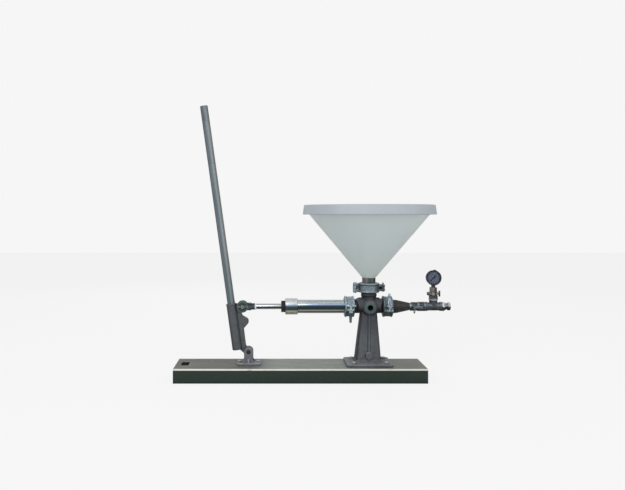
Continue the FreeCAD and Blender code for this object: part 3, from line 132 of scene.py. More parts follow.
class Shader:
    def __init__(self, name, roughness, metallic=0.0, **constants):
        self.material = bpy.data.materials.new(name)
        self.material.use_nodes = True
        self.tree = self.material.node_tree
        self.surface = self.tree.nodes["Principled BSDF"]
        self.surface.inputs["Roughness"].default_value = roughness
        self.surface.inputs["Metallic"].default_value = metallic
        for socket, value in constants.items():
            self.surface.inputs[socket.replace("_", " ")].default_value = value
        self.place = self.node("ShaderNodeTexCoord", {}, {}, "Object")
        self.normal = self.node("ShaderNodeTexCoord", {}, {}, "Normal")

    def node(self, kind, settings, sockets, output=0):
        # one node: its settings first, then the values or links of its sockets
        made = self.tree.nodes.new(kind)
        for name, value in settings.items():
            if name == "stops":
                ramp = made.color_ramp
                while len(ramp.elements) < len(value):
                    ramp.elements.new(0.5)
                for element, (position, colour) in zip(ramp.elements, value):
                    element.position = position
                    element.color = colour
            else:
                setattr(made, name, value)
        for name, value in sockets.items():
            if isinstance(value, Value):
                self.tree.links.new(value.socket, made.inputs[name])
            else:
                made.inputs[name].default_value = value
        return Value(self, made.outputs[output])

    def noise(self, scale, detail, stretch=(1, 1, 1)):
        place = self.node("ShaderNodeVectorMath", {"operation": "MULTIPLY"}, {0: self.place, 1: stretch})
        sockets = {"Vector": place, "Scale": scale, "Detail": detail, "Roughness": 0.55}
        return self.node("ShaderNodeTexNoise", {}, sockets)

    def pits(self, scale):
        return self.node("ShaderNodeTexVoronoi", {}, {"Vector": self.place, "Scale": scale})

    def mix(self, share, first, second, blend="MIX"):
        settings = {"data_type": "RGBA", "blend_type": blend}
        return self.node("ShaderNodeMix", settings, {0: share, 6: first, 7: second}, 2)

    def ramp(self, share, stops):
        return self.node("ShaderNodeValToRGB", {"stops": stops}, {0: share})

    def shade(self, colour, share):
        # a colour times a value that varies about 1
        grey = self.node("ShaderNodeCombineXYZ", {}, {0: share, 1: share, 2: share})
        return self.mix(1.0, colour, grey, "MULTIPLY")

    def feed(self, socket, value):
        self.tree.links.new(value.socket, self.surface.inputs[socket])

    def done(self, colour, roughness, height, distance, strength):
        # a finish ends with its colour, its roughness and its relief
        self.feed("Base Color", colour)
        self.feed("Roughness", roughness)
        sockets = {"Height": height, "Distance": distance, "Strength": strength}
        self.feed("Normal", self.node("ShaderNodeBump", {}, sockets))
        return self.material

    def along(self, axis):
        return self.node("ShaderNodeSeparateXYZ", {}, {0: self.place}, axis)

    def height(self):
        return self.along("Z")

    def upward(self):
        return self.node("ShaderNodeSeparateXYZ", {}, {0: self.normal}, "Z")

    def rightward(self):
        return self.node("ShaderNodeSeparateXYZ", {}, {0: self.normal}, "X")

    def wornAndShaded(self, colour, bright, dark):
        # rubbed wear and painted highlight bright on the edges, painted shade dark in the corners
        edge = self.node("ShaderNodeNewGeometry", {}, {}, "Pointiness")
        edgeWearAndHighlight = edge.rise(0.502, 0.53) * (bright - 1)
        cornerShade = edge.rise(0.498, 0.465) * (1 - dark)
        return self.shade(colour, 1 + edgeWearAndHighlight - cornerShade)

    def mottled(self, colour, cloud, grain):
        # sand-cast skin: broad clouds, blotches and fine grain
        blotch = self.noise(80, 2).rise(0.32, 0.68) - 0.5
        return self.shade(colour, (cloud - 0.5) * 0.3 + self.noise(grain, 3) * 0.4 + blotch * 0.22 + 0.8)

    def reach(self, centre):
        # distance from the line that runs through a point from front to back
        off = self.node("ShaderNodeVectorMath", {"operation": "SUBTRACT"}, {0: self.place, 1: centre})
        flat = self.node("ShaderNodeVectorMath", {"operation": "MULTIPLY"}, {0: off, 1: (1, 0, 1)})
        return self.node("ShaderNodeVectorMath", {"operation": "LENGTH"}, {0: flat}, "Value")

    def byHeight(self, stops):
        # colours round a lying piece by the way its faces point, from its underside at 0 to its top at 1, for
        # painted light, shade and reflections
        return self.ramp(self.upward() * 0.5 + 0.5, stops)

    def bySide(self, stops):
        # colours round a standing piece by the way its faces point, from its left at 0 to its right at 1, for
        # painted light, shade and reflections
        return self.ramp(self.rightward() * 0.5 + 0.5, stops)


# Finishes
def channelFinish():
    # and a painted bluish reflection under it, a front painted dark green as shade, darkest in a painted contact
    # shadow at its foot
    # by facing: a worn top painted lighter by the light from above, a painted highlight along the rounded edge
    look = {"top": tone(121, 120, 116), "middle": tone(158, 162, 158), "face": tone(34, 50, 42),
            "foot": tone(18, 30, 23), "edge": tone(240, 236, 228), "lip": tone(118, 134, 146),
            "stain": tone(94, 92, 92), "right": tone(136, 136, 131)}
    at = {"centre": (-0.22, -0.1), "right": (0.3, 0.46), "foot": (0.0075, 0.0035)}  # metres, from and to
    s = Shader("channelSteel", 0.5, 0.2)
    up = s.upward()
    drawn = s.noise(9, 5, (1, 9, 9))
    spots = s.noise(44, 3).rise(0.62, 0.74)
    place = s.along("X") + drawn * 0.12
    centre = place.rise(*at["centre"]) * (1 - place.rise(*at["right"]))
    top = s.mix(centre, look["top"], look["middle"])
    top = s.mix(place.rise(*at["right"]), top, look["right"])
    top = s.mix(drawn.rise(0.42, 0.7) * 0.4, top, look["stain"])
    top = s.mix(spots * 0.2, top, look["edge"])
    face = s.shade(look["face"], s.noise(26, 4, (1, 1, 5)) * 0.3 + 0.85)
    face = s.mix(s.height().rise(*at["foot"]), face, look["foot"])
    scuffs = s.noise(160, 2, (0.12, 1, 1)).rise(0.6, 0.75)
    edge = s.mix(scuffs * 0.6, look["edge"], look["top"])
    colour = s.mix(up.rise(0.08, 0.18), face, look["lip"])
    colour = s.mix(up.rise(0.2, 0.34), colour, edge)
    return s.done(s.mix(up.rise(0.93, 0.99), colour, top), 0.42 + 0.25 * drawn,
                  s.noise(420, 3) + scuffs * 0.6, 0.00025, 0.5)


def castFinish(name, look):
    # sand-cast metal: mottled and pitted, with painted light on its upper faces and a painted highlight on its
    # edges, painted shade underneath, on the sides turned away and in the corners
    s = Shader(name, 0.6, 0.15)
    cloud = s.noise(22, 5)
    up = s.upward()
    colour = s.mix(up.rise(0.25, 0.85), look["side"], look["top"])
    colour = s.mix(up.rise(-0.1, -0.6), colour, look["under"])
    colour = s.mix(abs(s.rightward()).rise(0.4, 0.95) * 0.8, colour, look["turned"])
    return s.done(s.mottled(s.wornAndShaded(colour, 1.3, 0.6), cloud, 190), 0.5 + 0.25 * cloud,
                  s.pits(520).rise(0.0, 0.45) * 0.5 + s.noise(728, 3) * 0.6 + cloud * 0.5, 0.0004, 0.5)


def bodyFinish():
    # the pump body: brown-black ports, painted darkest below and lighter on top, with painted shade on their
    # right,
    # over a blue-grey column darker towards its top and right end, painted shade on its sides and in its corners,
    # painted light on upward faces and the top of the boss ring, wear and painted highlight on its edges
    look = {"column": tone(89, 94, 98), "upper": tone(65, 70, 76), "side": tone(46, 46, 53),
            "foot": tone(145, 145, 151), "ring": tone(72, 84, 84), "ringTop": tone(122, 132, 140),
            "brown": tone(84, 76, 76)}
    at = {"upper": (0.16, 0.27), "foot": (0.07, 0.1), "right": (0.256, 0.27), "ports": (0.287, 0.295),
          "bossFace": (0.0428, 0.0431), "bossLow": (0.28, 0.29), "bossTop": (0.338, 0.352)}
    ports = bands((0.0, 14, 17, 17), (0.42, 20, 23, 25), (0.49, 40, 42, 46), (0.54, 60, 61, 67),
                  (0.7, 70, 71, 79), (1.0, 84, 87, 96))
    s = Shader("bodyCasting", 0.6, 0.15)
    cloud = s.noise(18, 5)
    up = s.height()
    column = s.mix(up.rise(*at["upper"]), look["column"], look["upper"])
    column = s.mix(abs(s.rightward()).rise(0.5, 0.9) * up.rise(*at["foot"]), column, look["side"])
    column = s.mix(s.upward().rise(0.5, 0.9), column, look["foot"])
    column = s.shade(column, 1 - s.along("X").rise(*at["right"]) * 0.16)
    port = s.shade(s.byHeight(ports), 1 - s.rightward().rise(0.2, 0.9) * 0.35)
    colour = s.mix(up.rise(*at["ports"]), column, port)
    ring = s.mix(up.rise(*at["bossTop"]), look["ring"], look["ringTop"])
    boss = (0 - s.along("Y")).rise(*at["bossFace"]) * up.rise(*at["bossLow"])
    colour = s.wornAndShaded(s.mix(boss, colour, ring), 1.4, 0.5)
    colour = s.mix(s.noise(46, 3).rise(0.5, 0.72) * 0.3, colour, look["brown"])
    return s.done(s.mottled(colour, cloud, 170), 0.5 + 0.25 * cloud,
                  s.pits(430).rise(0.0, 0.5) * 0.5 + s.noise(700, 3) * 0.6, 0.0004, 0.5)


def plugFinish(centre):
    # the clean-out plug: grey-green, paler towards its rim, with its socket painted black as the shade inside it
    # and painted shade on its lower and right parts
    stops = bands((0.0, 3, 3, 4), (0.45, 3, 3, 4), (0.5, 60, 78, 76), (0.62, 78, 96, 94), (0.78, 72, 92, 90),
                  (0.9, 90, 108, 106), (1.0, 66, 80, 80))
    at = {"rim": 0.0262, "drop": (-0.002, 0.024), "right": (0.008, 0.025)}
    s = Shader("plugIron", 0.5, 0.25)
    cloud = s.noise(60, 4)
    spread = s.reach(centre) / at["rim"]
    colour = s.ramp(spread, stops)
    s.feed("Metallic", 0.25 + 0.75 * spread.rise(0.5, 0.47))
    drop = (centre[2] - s.height()).rise(*at["drop"])
    colour = s.mix(drop * 0.5, colour, tone(50, 84, 80))
    right = (s.along("X") - centre[0]).rise(*at["right"])
    colour = s.mix(right * 0.4, colour, tone(60, 66, 68))
    return s.done(s.shade(colour, cloud * 0.4 + 0.8), 0.42 + 0.2 * cloud,
                  s.pits(500).rise(0.0, 0.45) * 0.5 + cloud, 0.0003, 0.5)


def clevisFinish(centre):
    # forged clevis: dark green cheek with a painted highlight round its rim, a darker block behind it with painted
    # shade along its top and bottom,
    # a painted tone of light on its upward faces, and a bright turned nose
    look = {"block": tone(66, 80, 78), "edge": tone(26, 32, 44), "top": tone(62, 72, 80),
            "nose": tone(232, 230, 240)}
    at = {"cheek": 0.0255, "rim": (0.0254, 0.0257), "edge": (0.004, 0.012), "nose": (-0.2655, -0.264)}
    stops = bands((0.0, 54, 70, 74), (0.6, 46, 60, 64), (0.8, 50, 66, 68), (0.9, 88, 110, 112),
                  (0.96, 84, 104, 104), (1.0, 40, 54, 58))
    s = Shader("clevisForging", 0.5, 0.3)
    cloud = s.noise(60, 4)
    reach = s.reach(centre)
    block = s.mix(abs(s.height() - centre[2]).rise(*at["edge"]), look["block"], look["edge"])
    colour = s.mix(reach.rise(*at["rim"]), s.ramp(reach / at["cheek"], stops), block)
    colour = s.mix(s.upward().rise(0.5, 0.9), colour, look["top"])
    colour = s.mix(s.along("X").rise(*at["nose"]), colour, look["nose"])
    return s.done(s.shade(colour, cloud * 0.3 + 0.85), 0.42 + 0.2 * cloud, s.noise(600, 3), 0.0002, 0.4)


def pinFinish(name, centre, radius, stops):
    # the end of a pin: colours from its middle to its rim
    s = Shader(name, 0.4, 0.4)
    colour = s.shade(s.ramp(s.reach(centre) / radius, stops), s.noise(90, 3) * 0.3 + 0.85)
    return s.done(colour, 0.35 + 0.2 * s.noise(200, 3), s.noise(500, 2), 0.0002, 0.4)


def handleFinish():
    # steel tube: painted reflection bands round it from left to right, a dull blue side, a darker middle and a
    # pale band where it turns away on the right; greener low down
    stops = bands((0.0, 84, 90, 99), (0.07, 94, 101, 111), (0.215, 113, 122, 131), (0.355, 94, 105, 114),
                  (0.5, 108, 119, 124), (0.645, 146, 154, 156), (0.785, 128, 135, 140),
                  (0.93, 124, 128, 131), (1.0, 92, 96, 100))
    at = {"low": (0.62, 0.36), "grip": (1.155, 1.165)}
    s = Shader("handleSteel", 0.42, 0.35)
    streak = s.noise(40, 4, (1, 1, 0.06))
    colour = s.shade(s.bySide(stops), streak * 0.5 + 0.75)
    colour = s.mix(s.height().rise(*at["low"]) * 0.3, colour, tone(74, 92, 90))
    colour = s.mix(s.noise(24, 5, (1, 1, 0.3)).rise(0.6, 0.75) * 0.3, colour, tone(150, 152, 154))
    return s.done(s.shade(colour, 1 - s.height().rise(*at["grip"]) * 0.1), 0.36 + 0.2 * streak,
                  streak + s.noise(500, 2), 0.0002, 0.4)


def polishedFinish(name, stops, roughness=0.16):
    # bright tube: the bands that open sky and dark ground leave along it, from underneath to on top
    s = Shader(name, roughness, 0.75)
    fine = s.noise(40, 3, (1, 8, 8))
    return s.done(s.shade(s.byHeight(stops), fine * 0.12 + 0.94), roughness + 0.12 * s.noise(30, 4),
                  fine, 0.00001, 0.05)


def brushedFinish(stops):
    # brushed aluminium, with painted reflection bands round it from underneath to on top
    s = Shader("brushedAluminium", 0.34, 0.7)
    turned = s.noise(500, 2, (1, 0.02, 0.02))
    return s.done(s.shade(s.byHeight(stops), turned * 0.16 + 0.92), 0.28 + 0.16 * turned,
                  turned, 0.0001, 0.35)


def platedFinish(name, stops, stain=None, metallic=0.5, scale=45, standing=False, zones=None, mottle=0.5,
                 band=None):
    # zinc plate or galvanising: painted light above and painted shade in dark green below (from left to right for
    # standing pieces), with crystal flakes and a little stain
    s = Shader(name, 0.4, metallic)
    cloud = s.noise(scale, 5)
    flakes = s.pits(scale * 5)
    colour = s.bySide(stops) if standing else s.byHeight(stops)
    if zones:
        place = (s.along("X") - zones["left"]) / (zones["right"] - zones["left"])
        colour = s.mix(1.0, colour, s.ramp(place, zones["shares"]), "MULTIPLY")
    patches = s.noise(170, 2).rise(0.3, 0.7) - 0.5
    colour = s.shade(colour, (cloud - 0.5) * 0.6 + flakes.rise(0.0, 0.7) * 0.14 + patches * mottle + 0.92)
    # painted shade on faces turned to the right, and a little on those turned to the left
    if not standing:
        right = s.rightward()
        colour = s.shade(colour, 1 - right.rise(0.1, 0.95) * 0.6 + right.rise(-0.6, -0.98) * -0.2)
    if stain:
        colour = s.mix(s.noise(scale * 1.3, 4, (1, 1, 1.4)).rise(0.52, 0.66) * 0.75, colour, stain)
    # a band of painted shade or painted highlight, by height
    if band:
        low, high = band["low"], band["high"]
        inside = s.height().rise(low, low + mm) * s.height().rise(high + mm, high)
        colour = s.mix(inside, colour, band["colour"])
    # wear and painted highlight on the edges, painted shade in the corners
    return s.done(s.wornAndShaded(colour, 1.5, 0.4), 0.32 + 0.2 * cloud,
                  s.noise(scale * 9, 3) + flakes * 0.3, 0.0002, 0.35)


def neckFinish():
    # steel pipe: painted reflection bands round it from left to right, with streaks along it
    stops = bands((0.0, 58, 52, 56), (0.06, 120, 114, 118), (0.12, 98, 90, 92), (0.2, 116, 112, 117),
                  (0.3, 106, 112, 118), (0.38, 74, 88, 92), (0.47, 69, 80, 80), (0.58, 74, 78, 74),
                  (0.7, 92, 88, 80), (0.82, 72, 66, 62), (0.92, 40, 38, 42), (1.0, 30, 29, 34))
    s = Shader("neckSteel", 0.4, 0.5)
    streak = s.noise(34, 3, (1, 1, 0.08))
    return s.done(s.shade(s.bySide(stops), streak * 0.5 + 0.75), 0.34 + 0.2 * streak,
                  streak + s.noise(380, 2) * 0.4, 0.0003, 0.4)


def hopperFinish():
    # milky moulded plastic: a little greener low down, painted shade on its right side, a darker ledge under the
    # thick rim and a blue cast on the rim, with patches of dust
    look = {"cone": tone(203, 214, 214), "low": tone(203, 215, 211), "rim": tone(181, 189, 197),
            "ledge": tone(172, 180, 184), "dust": tone(210, 219, 218), "right": tone(196, 202, 200)}
    at = {"cone": (0.46, 0.6), "ledge": (0.738, 0.7415), "rim": (0.7425, 0.746)}
    s = Shader("hopperPlastic", 0.5, Subsurface_Weight=0.2, Subsurface_Scale=0.02,
               Subsurface_Radius=(1, 1, 1))
    up = s.height()
    colour = s.mix(up.rise(*at["cone"]), look["low"], look["cone"])
    colour = s.mix(s.rightward().rise(0.5, 0.9) * 0.6, colour, look["right"])
    colour = s.mix(up.rise(*at["ledge"]), colour, look["ledge"])
    colour = s.mix(up.rise(*at["rim"]), colour, look["rim"])
    cloud = s.noise(7, 5)
    colour = s.mix(cloud.rise(0.5, 0.72) * 0.25, colour, look["dust"])
    runs = s.noise(70, 3, (1, 1, 0.1))
    return s.done(s.shade(colour, runs * 0.05 + 0.975), 0.42 + 0.16 * cloud,
                  s.noise(260, 3) + cloud, 0.0003, 0.35)


def plainFinish(name, colour, roughness, metallic=0.0, grain=600, depth=0.0002):
    s = Shader(name, roughness, metallic)
    cloud = s.noise(grain / 8, 4)
    return s.done(s.shade(colour, cloud * 0.4 + 0.8), roughness + 0.15 * (cloud - 0.5),
                  s.noise(grain, 2), depth, 0.4)


def glassFinish():
    s = Shader("lensGlass", 0.04, Alpha=0.03, Coat_Weight=0.2)
    smear = s.noise(60, 3)
    s.feed("Base Color", s.mix(smear, tone(60, 70, 84), tone(90, 100, 112)))
    s.feed("Roughness", 0.03 + 0.06 * smear)
    return s.material


# Ramps: colours round a piece, from underneath to on top, or from left to right where it stands; most are painted
# reflections, light and shade
chromeStops = bands((0.08, 142, 146, 142), (0.17, 113, 120, 121), (0.26, 186, 185, 177), (0.34, 74, 86, 80),
                    (0.42, 22, 50, 48), (0.5, 35, 60, 54), (0.57, 56, 65, 64), (0.645, 108, 120, 142),
                    (0.715, 191, 213, 252), (0.785, 192, 209, 230), (0.855, 240, 242, 241),
                    (0.92, 214, 212, 218), (0.98, 204, 223, 226))
rodStops = bands((0.0, 182, 178, 162), (0.19, 217, 212, 196), (0.25, 103, 109, 119), (0.3, 18, 36, 62),
                 (0.47, 22, 42, 68), (0.53, 150, 168, 186), (0.6, 184, 202, 216), (0.76, 206, 206, 202),
                 (1.0, 196, 196, 192))
capStops = bands((0.083, 178, 187, 172), (0.159, 167, 167, 149), (0.23, 207, 194, 178), (0.3, 149, 157, 146),
                 (0.364, 38, 70, 68), (0.43, 39, 70, 67), (0.49, 50, 72, 69), (0.553, 76, 85, 86),
                 (0.614, 132, 140, 160), (0.7, 185, 198, 221), (0.79, 240, 242, 243), (0.9, 231, 232, 231),
                 (1.0, 225, 225, 222))
pinStops = bands((0.0, 24, 60, 62), (0.35, 30, 66, 68), (0.55, 140, 160, 156), (0.85, 130, 150, 146),
                 (1.0, 50, 60, 62))
zincStops = bands((0.0, 50, 64, 60), (0.14, 78, 92, 86), (0.3, 54, 70, 66), (0.38, 60, 80, 80),
                  (0.43, 120, 134, 140), (0.55, 138, 152, 160), (0.75, 142, 156, 164), (0.9, 136, 150, 156),
                  (1.0, 166, 176, 178))
toggleStops = bands((0.0, 50, 64, 60), (0.3, 54, 70, 68), (0.4, 82, 96, 100), (0.5, 146, 158, 168),
                    (0.75, 154, 167, 178), (1.0, 180, 190, 196))
boltStops = bands((0.0, 60, 70, 68), (0.4, 96, 106, 108), (0.6, 150, 160, 160), (1.0, 164, 176, 174))
pipeStops = bands((0.05, 49, 58, 54), (0.17, 20, 34, 32), (0.3, 41, 56, 58), (0.42, 54, 69, 73),
                  (0.54, 77, 89, 98), (0.655, 111, 126, 141), (0.765, 130, 141, 146), (0.87, 107, 114, 114),
                  (1.0, 132, 136, 132))
coneStops = bands((0.0, 4, 6, 5), (0.2, 16, 19, 16), (0.4, 20, 21, 20), (0.55, 30, 32, 34),
                  (0.68, 37, 38, 39), (0.8, 53, 53, 53), (1.0, 49, 50, 51))
stackStops = bands((0.0, 60, 56, 50), (0.18, 84, 80, 74), (0.36, 124, 126, 128), (0.5, 112, 114, 114),
                   (0.66, 86, 78, 68), (0.82, 30, 24, 20), (1.0, 18, 14, 14))
teeStops = bands((0.0, 10, 26, 22), (0.2, 12, 28, 25), (0.32, 36, 50, 50), (0.42, 48, 60, 64),
                 (0.54, 66, 77, 86), (0.655, 98, 112, 126), (0.765, 112, 122, 130), (1.0, 104, 110, 112))
hoseStops = bands((0.0, 6, 14, 12), (0.3, 10, 26, 20), (0.42, 22, 38, 34), (0.5, 70, 80, 86),
                  (0.6, 146, 154, 164), (0.72, 186, 190, 196), (0.87, 160, 164, 166), (1.0, 170, 172, 168))
cockStops = bands((0.0, 10, 14, 14), (0.35, 20, 24, 24), (0.5, 44, 50, 50), (0.7, 92, 98, 96),
                  (1.0, 128, 132, 128))
bushStops = bands((0.0, 66, 56, 44), (0.25, 58, 56, 46), (0.45, 36, 56, 46), (0.62, 44, 58, 50),
                  (0.8, 62, 44, 36), (1.0, 52, 40, 34))
clampZones = lightZones(0.13, 0.37, (0.0, 1.3, 1.3, 1.32), (0.24, 1.3, 1.3, 1.32), (0.27, 0.82, 0.84, 0.86),
                        (0.7, 0.8, 0.82, 0.84), (0.74, 0.55, 0.56, 0.57), (0.81, 0.55, 0.56, 0.57),
                        (0.83, 0.84, 0.86, 0.9), (1.0, 0.84, 0.86, 0.9))
topZones = lightZones(0.18, 0.33, (0.0, 0.95, 0.95, 0.95), (0.1, 0.9, 0.9, 0.9), (0.13, 0.5, 0.5, 0.5),
                      (0.2, 0.55, 0.55, 0.55), (0.26, 0.86, 0.88, 0.88), (0.74, 0.86, 0.88, 0.88),
                      (0.79, 0.4, 0.4, 0.4), (0.9, 0.32, 0.32, 0.32), (1.0, 0.7, 0.7, 0.7))
couplerZones = lightZones(0.437, 0.5035, (0.0, 0.8, 0.7, 0.55), (0.12, 0.45, 0.43, 0.42),
                          (0.5, 0.3, 0.3, 0.32), (0.54, 1.3, 1.3, 1.35), (0.6, 1.2, 1.2, 1.2),
                          (0.66, 0.8, 0.74, 0.66), (0.8, 0.42, 0.38, 0.36), (0.93, 0.5, 0.46, 0.44),
                          (1.0, 1.2, 1.2, 1.25))
# bands by height in metres: painted shade on the clamp lever, and a painted highlight round the tee's branch rim
leverShade = {"low": 0.2, "high": 0.288, "colour": tone(84, 98, 100)}
teeRim = {"low": 0.352, "high": 0.358, "colour": tone(150, 158, 172)}
# sides in the casting's own tone, with a painted lighter top, painted shade underneath and painted shade on the
# sides turned away
leverLook = {"side": tone(84, 88, 91), "top": tone(100, 104, 108), "under": tone(58, 61, 64),
             "turned": tone(50, 54, 60)}
bracketLook = {"side": tone(110, 112, 118), "top": tone(156, 162, 166), "under": tone(60, 62, 66),
               "turned": tone(84, 87, 94)}
pinRadius = 0.007


def middleOf(node):
    low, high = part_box(node)
    return tuple((low + high) / 2)


finishes = {
    "channel_paint": channelFinish(),
    "cast_metal": castFinish("leverCasting", leverLook),
    "bracket": castFinish("bracketCasting", bracketLook),
    "clevis": clevisFinish(middleOf("clevis_pin")),
    "clevis_end": pinFinish("clevisPinEnd", middleOf("clevis_pin"), pinRadius, pinStops),
    "body_casting": bodyFinish(),
    "plug_metal": plugFinish(middleOf("cleanout_plug")),
    "handle_steel": handleFinish(),
    "chrome_tube": polishedFinish("chromeTube", chromeStops),
    "rod_chrome": polishedFinish("rodChrome", rodStops, 0.12),
    "cap_aluminium": brushedFinish(capStops),
    "black_plastic": plainFinish("blackPlastic", tone(14, 14, 16), 0.55),
    "zinc_steel": platedFinish("zincPlate", zincStops, zones=clampZones, mottle=0.7),
    "top_clamp": platedFinish("topClampZinc", zincStops, zones=topZones, mottle=0.7),
    "toggle": platedFinish("toggleZinc", toggleStops, mottle=1.5),
    "shaded_lever": platedFinish("shadedLeverZinc", zincStops, zones=clampZones, mottle=0.7,
                                 band=leverShade),
    "tee_iron": platedFinish("teeIron", teeStops, tone(84, 76, 68), 0.4, 60, band=teeRim),
    "hose_iron": platedFinish("hoseIron", hoseStops, tone(110, 92, 84), 0.4, 60),
    "cock_iron": platedFinish("cockIron", cockStops, None, 0.4, 60),
    "bolt_steel": platedFinish("boltSteel", boltStops, tone(120, 104, 86)),
    "dark_pin": plainFinish("darkPin", tone(48, 48, 50), 0.5, 0.4),
    "reducer_metal": platedFinish("reducerIron", coneStops, tone(54, 50, 47), 0.15, 30),
    "galvanised": platedFinish("galvanisedIron", pipeStops, tone(112, 96, 82)),
    "coupler": platedFinish("couplerIron", pipeStops, tone(96, 82, 70), 0.4, 60, zones=couplerZones),
    "bushing": platedFinish("bushingIron", bushStops, None, 0.3, 60, True),
    "neck_steel": neckFinish(),
    "stack_metal": platedFinish("cockMetal", stackStops, tone(96, 76, 62), 0.4, 60, True),
    "hopper_plastic": hopperFinish(),
    "seal_rubber": plainFinish("sealRubber", tone(30, 30, 31), 0.75),
    "brass": plainFinish("brassWire", tone(146, 136, 118), 0.35, 0.5),
    "stem_brass": plainFinish("stemBrass", tone(70, 64, 58), 0.4, 0.5),
    "gauge_dark": plainFinish("gaugeEnamel", tone(36, 42, 50), 0.28, 0.3),
    "dial_face": plainFinish("dialEnamel", tone(90, 101, 122), 0.55, 0.0, 300, 0.00005),
    "lens_glass": glassFinish(),
}
# nodes whose finish isn't their slot's own
finishFor = {
    "pivot_bracket": "bracket", "rod_clevis": "clevis", "clevis_pin": "clevis_end", "pivot_pin": "dark_pin",
    "valve_stop_pins": "dark_pin", "piston_rod": "rod_chrome", "branch_bushing": "bushing",
    "cam_coupler": "coupler", "tee": "tee_iron", "hose_adapter": "hose_iron",
    "outlet_clamp_lever": "toggle", "cylinder_clamp_lever": "shaded_lever",
    "hopper_clamp_ear_half": "top_clamp", "hopper_clamp_catch_half": "top_clamp",
    "hopper_clamp_lever": "top_clamp", "gauge_cock_body": "stack_metal", "gauge_coupling": "stack_metal",
    "gauge_cock_plug": "cock_iron", "gauge_cock_nut": "cock_iron", "gauge_stem": "stem_brass",
}
inkRed = plainFinish("inkRed", tone(112, 70, 86), 0.5)
inkBlack = plainFinish("inkBlack", tone(74, 83, 102), 0.5)
print("finishes made:", len(finishes))


# Mesh tools
def ownFinish(node):
    return finishes[finishFor.get(node, slotOf[node])]


def dress(mesh, finish):
    mesh.materials.clear()
    mesh.materials.append(finish)


def smoothFaces(mesh, sharp=38):
    # smooth, but for edges that turn by more than this many degrees
    mesh.polygons.foreach_set("use_smooth", [True] * len(mesh.polygons))
    mesh.set_sharp_from_angle(angle=math.radians(sharp))


def meshFrom(bm, name):
    mesh = bpy.data.meshes.new(name)
    bm.to_mesh(mesh)
    bm.free()
    return mesh


def meshOf(curve):
    # a bent wire or a figure, as a mesh
    holder = addObject(curve.name, curve)
    bpy.context.view_layer.update()
    mesh = bpy.data.meshes.new_from_object(holder)
    bpy.data.objects.remove(holder)
    return mesh


def finishPiece(name, form, node, finish=None, stands=True, sharp=38):
    # a piece from a bmesh or a mesh: it rides with its node's body and, as a rule, stands for the node
    mesh = meshFrom(form, name) if isinstance(form, bmesh.types.BMesh) else form
    obj = addObject(name, mesh)
    dress(mesh, finish or ownFinish(node))
    smoothFaces(mesh, sharp)
    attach(obj, bodyOf[node])
    if stands:
        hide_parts(node)
    return obj


def applied(obj):
    # bake the modifiers into the mesh
    graph = bpy.context.evaluated_depsgraph_get()
    mesh = bpy.data.meshes.new_from_object(obj.evaluated_get(graph), depsgraph=graph)
    obj.modifiers.clear()
    obj.data = mesh
    return mesh


onAxis = 0.001


def softened(profile, radius):
    # round the corners of a closed outline of (distance, radius) points; points on the axis stay
    most, steps = 0.45, 3    # most of a side that a corner takes, and its parts
    loop = []
    count = len(profile)
    for index, point in enumerate(profile):
        here = Vector(point)
        before, after = Vector(profile[index - 1]), Vector(profile[(index + 1) % count])
        if here.y < onAxis:
            loop.append(here)
            continue
        reach = min(radius, most * (here - before).length, most * (after - here).length)
        start = here + (before - here).normalized() * reach
        end = here + (after - here).normalized() * reach
        for step in range(steps + 1):
            t = step / steps
            loop.append(start * (1 - t) ** 2 + here * 2 * t * (1 - t) + end * t ** 2)
    return loop


def spun(profile, centre, axis, steps, soften):
    # turned solid from (distance, radius) points in millimetres, about a line through centre
    along = {"x": xAxis, "y": yAxis, "z": zAxis}[axis]
    across = {"x": yAxis, "y": zAxis, "z": xAxis}[axis]
    up = along.cross(across)
    bm = bmesh.new()
    rings = []
    for distance, radius in softened(profile, soften):
        middle = centre + along * distance * mm
        count = 1 if radius < onAxis else steps
        angles = [2 * math.pi * step / steps for step in range(count)]
        rings.append([bm.verts.new(middle + (across * math.cos(a) + up * math.sin(a)) * radius * mm)
                      for a in angles])
    for first, second in zip(rings, rings[1:] + rings[:1]):
        if len(first) == 1 and len(second) == 1:
            continue
        for step in range(steps):
            follow = (step + 1) % steps
            corners = [first[step % len(first)], first[follow % len(first)],
                       second[follow % len(second)], second[step % len(second)]]
            bm.faces.new(list(dict.fromkeys(corners)))
    bmesh.ops.recalc_face_normals(bm, faces=bm.faces)
    return bm


def groove(place, radius, half, depth):
    # a shallow groove in a turned profile
    return [(place - half, radius), (place - half / 2, radius - depth),
            (place + half / 2, radius - depth), (place + half, radius)]


def axisThrough(node, axis):
    # a point on a node's middle line along one axis, and the node's two ends on it in millimetres
    low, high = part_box(node)
    index = "xyz".index(axis)
    middle = (low + high) / 2
    middle[index] = 0
    return middle, low[index] / mm, high[index] / mm


def pipe(node, axis, sizes, steps, soften):
    # a plain length of pipe, as long as its node
    centre, start, end = axisThrough(node, axis)
    inner, outer = sizes["inner"], sizes["outer"]
    return spun([(start, inner), (start, outer), (end, outer), (end, inner)], centre, axis, steps, soften)


def welded(node):
    bm = bmesh.new()
    bm.from_mesh(nodes[node].data)
    bmesh.ops.remove_doubles(bm, verts=bm.verts, dist=1e-6)
    return bm


def machined(node, name, edge):
    # the node with its sharp edges broken, as a machined or forged piece has them
    angles = {"flat": 0.4, "edge": 32}
    bm = welded(node)
    bmesh.ops.dissolve_limit(bm, angle_limit=math.radians(angles["flat"]), verts=bm.verts, edges=bm.edges)
    obj = finishPiece(name, bm, node)
    bevel = obj.modifiers.new("edge", "BEVEL")
    bevel.width = edge * mm
    bevel.segments = 2
    bevel.limit_method = "ANGLE"
    bevel.angle_limit = math.radians(angles["edge"])
    bevel.use_clamp_overlap = True
    smoothFaces(applied(obj))


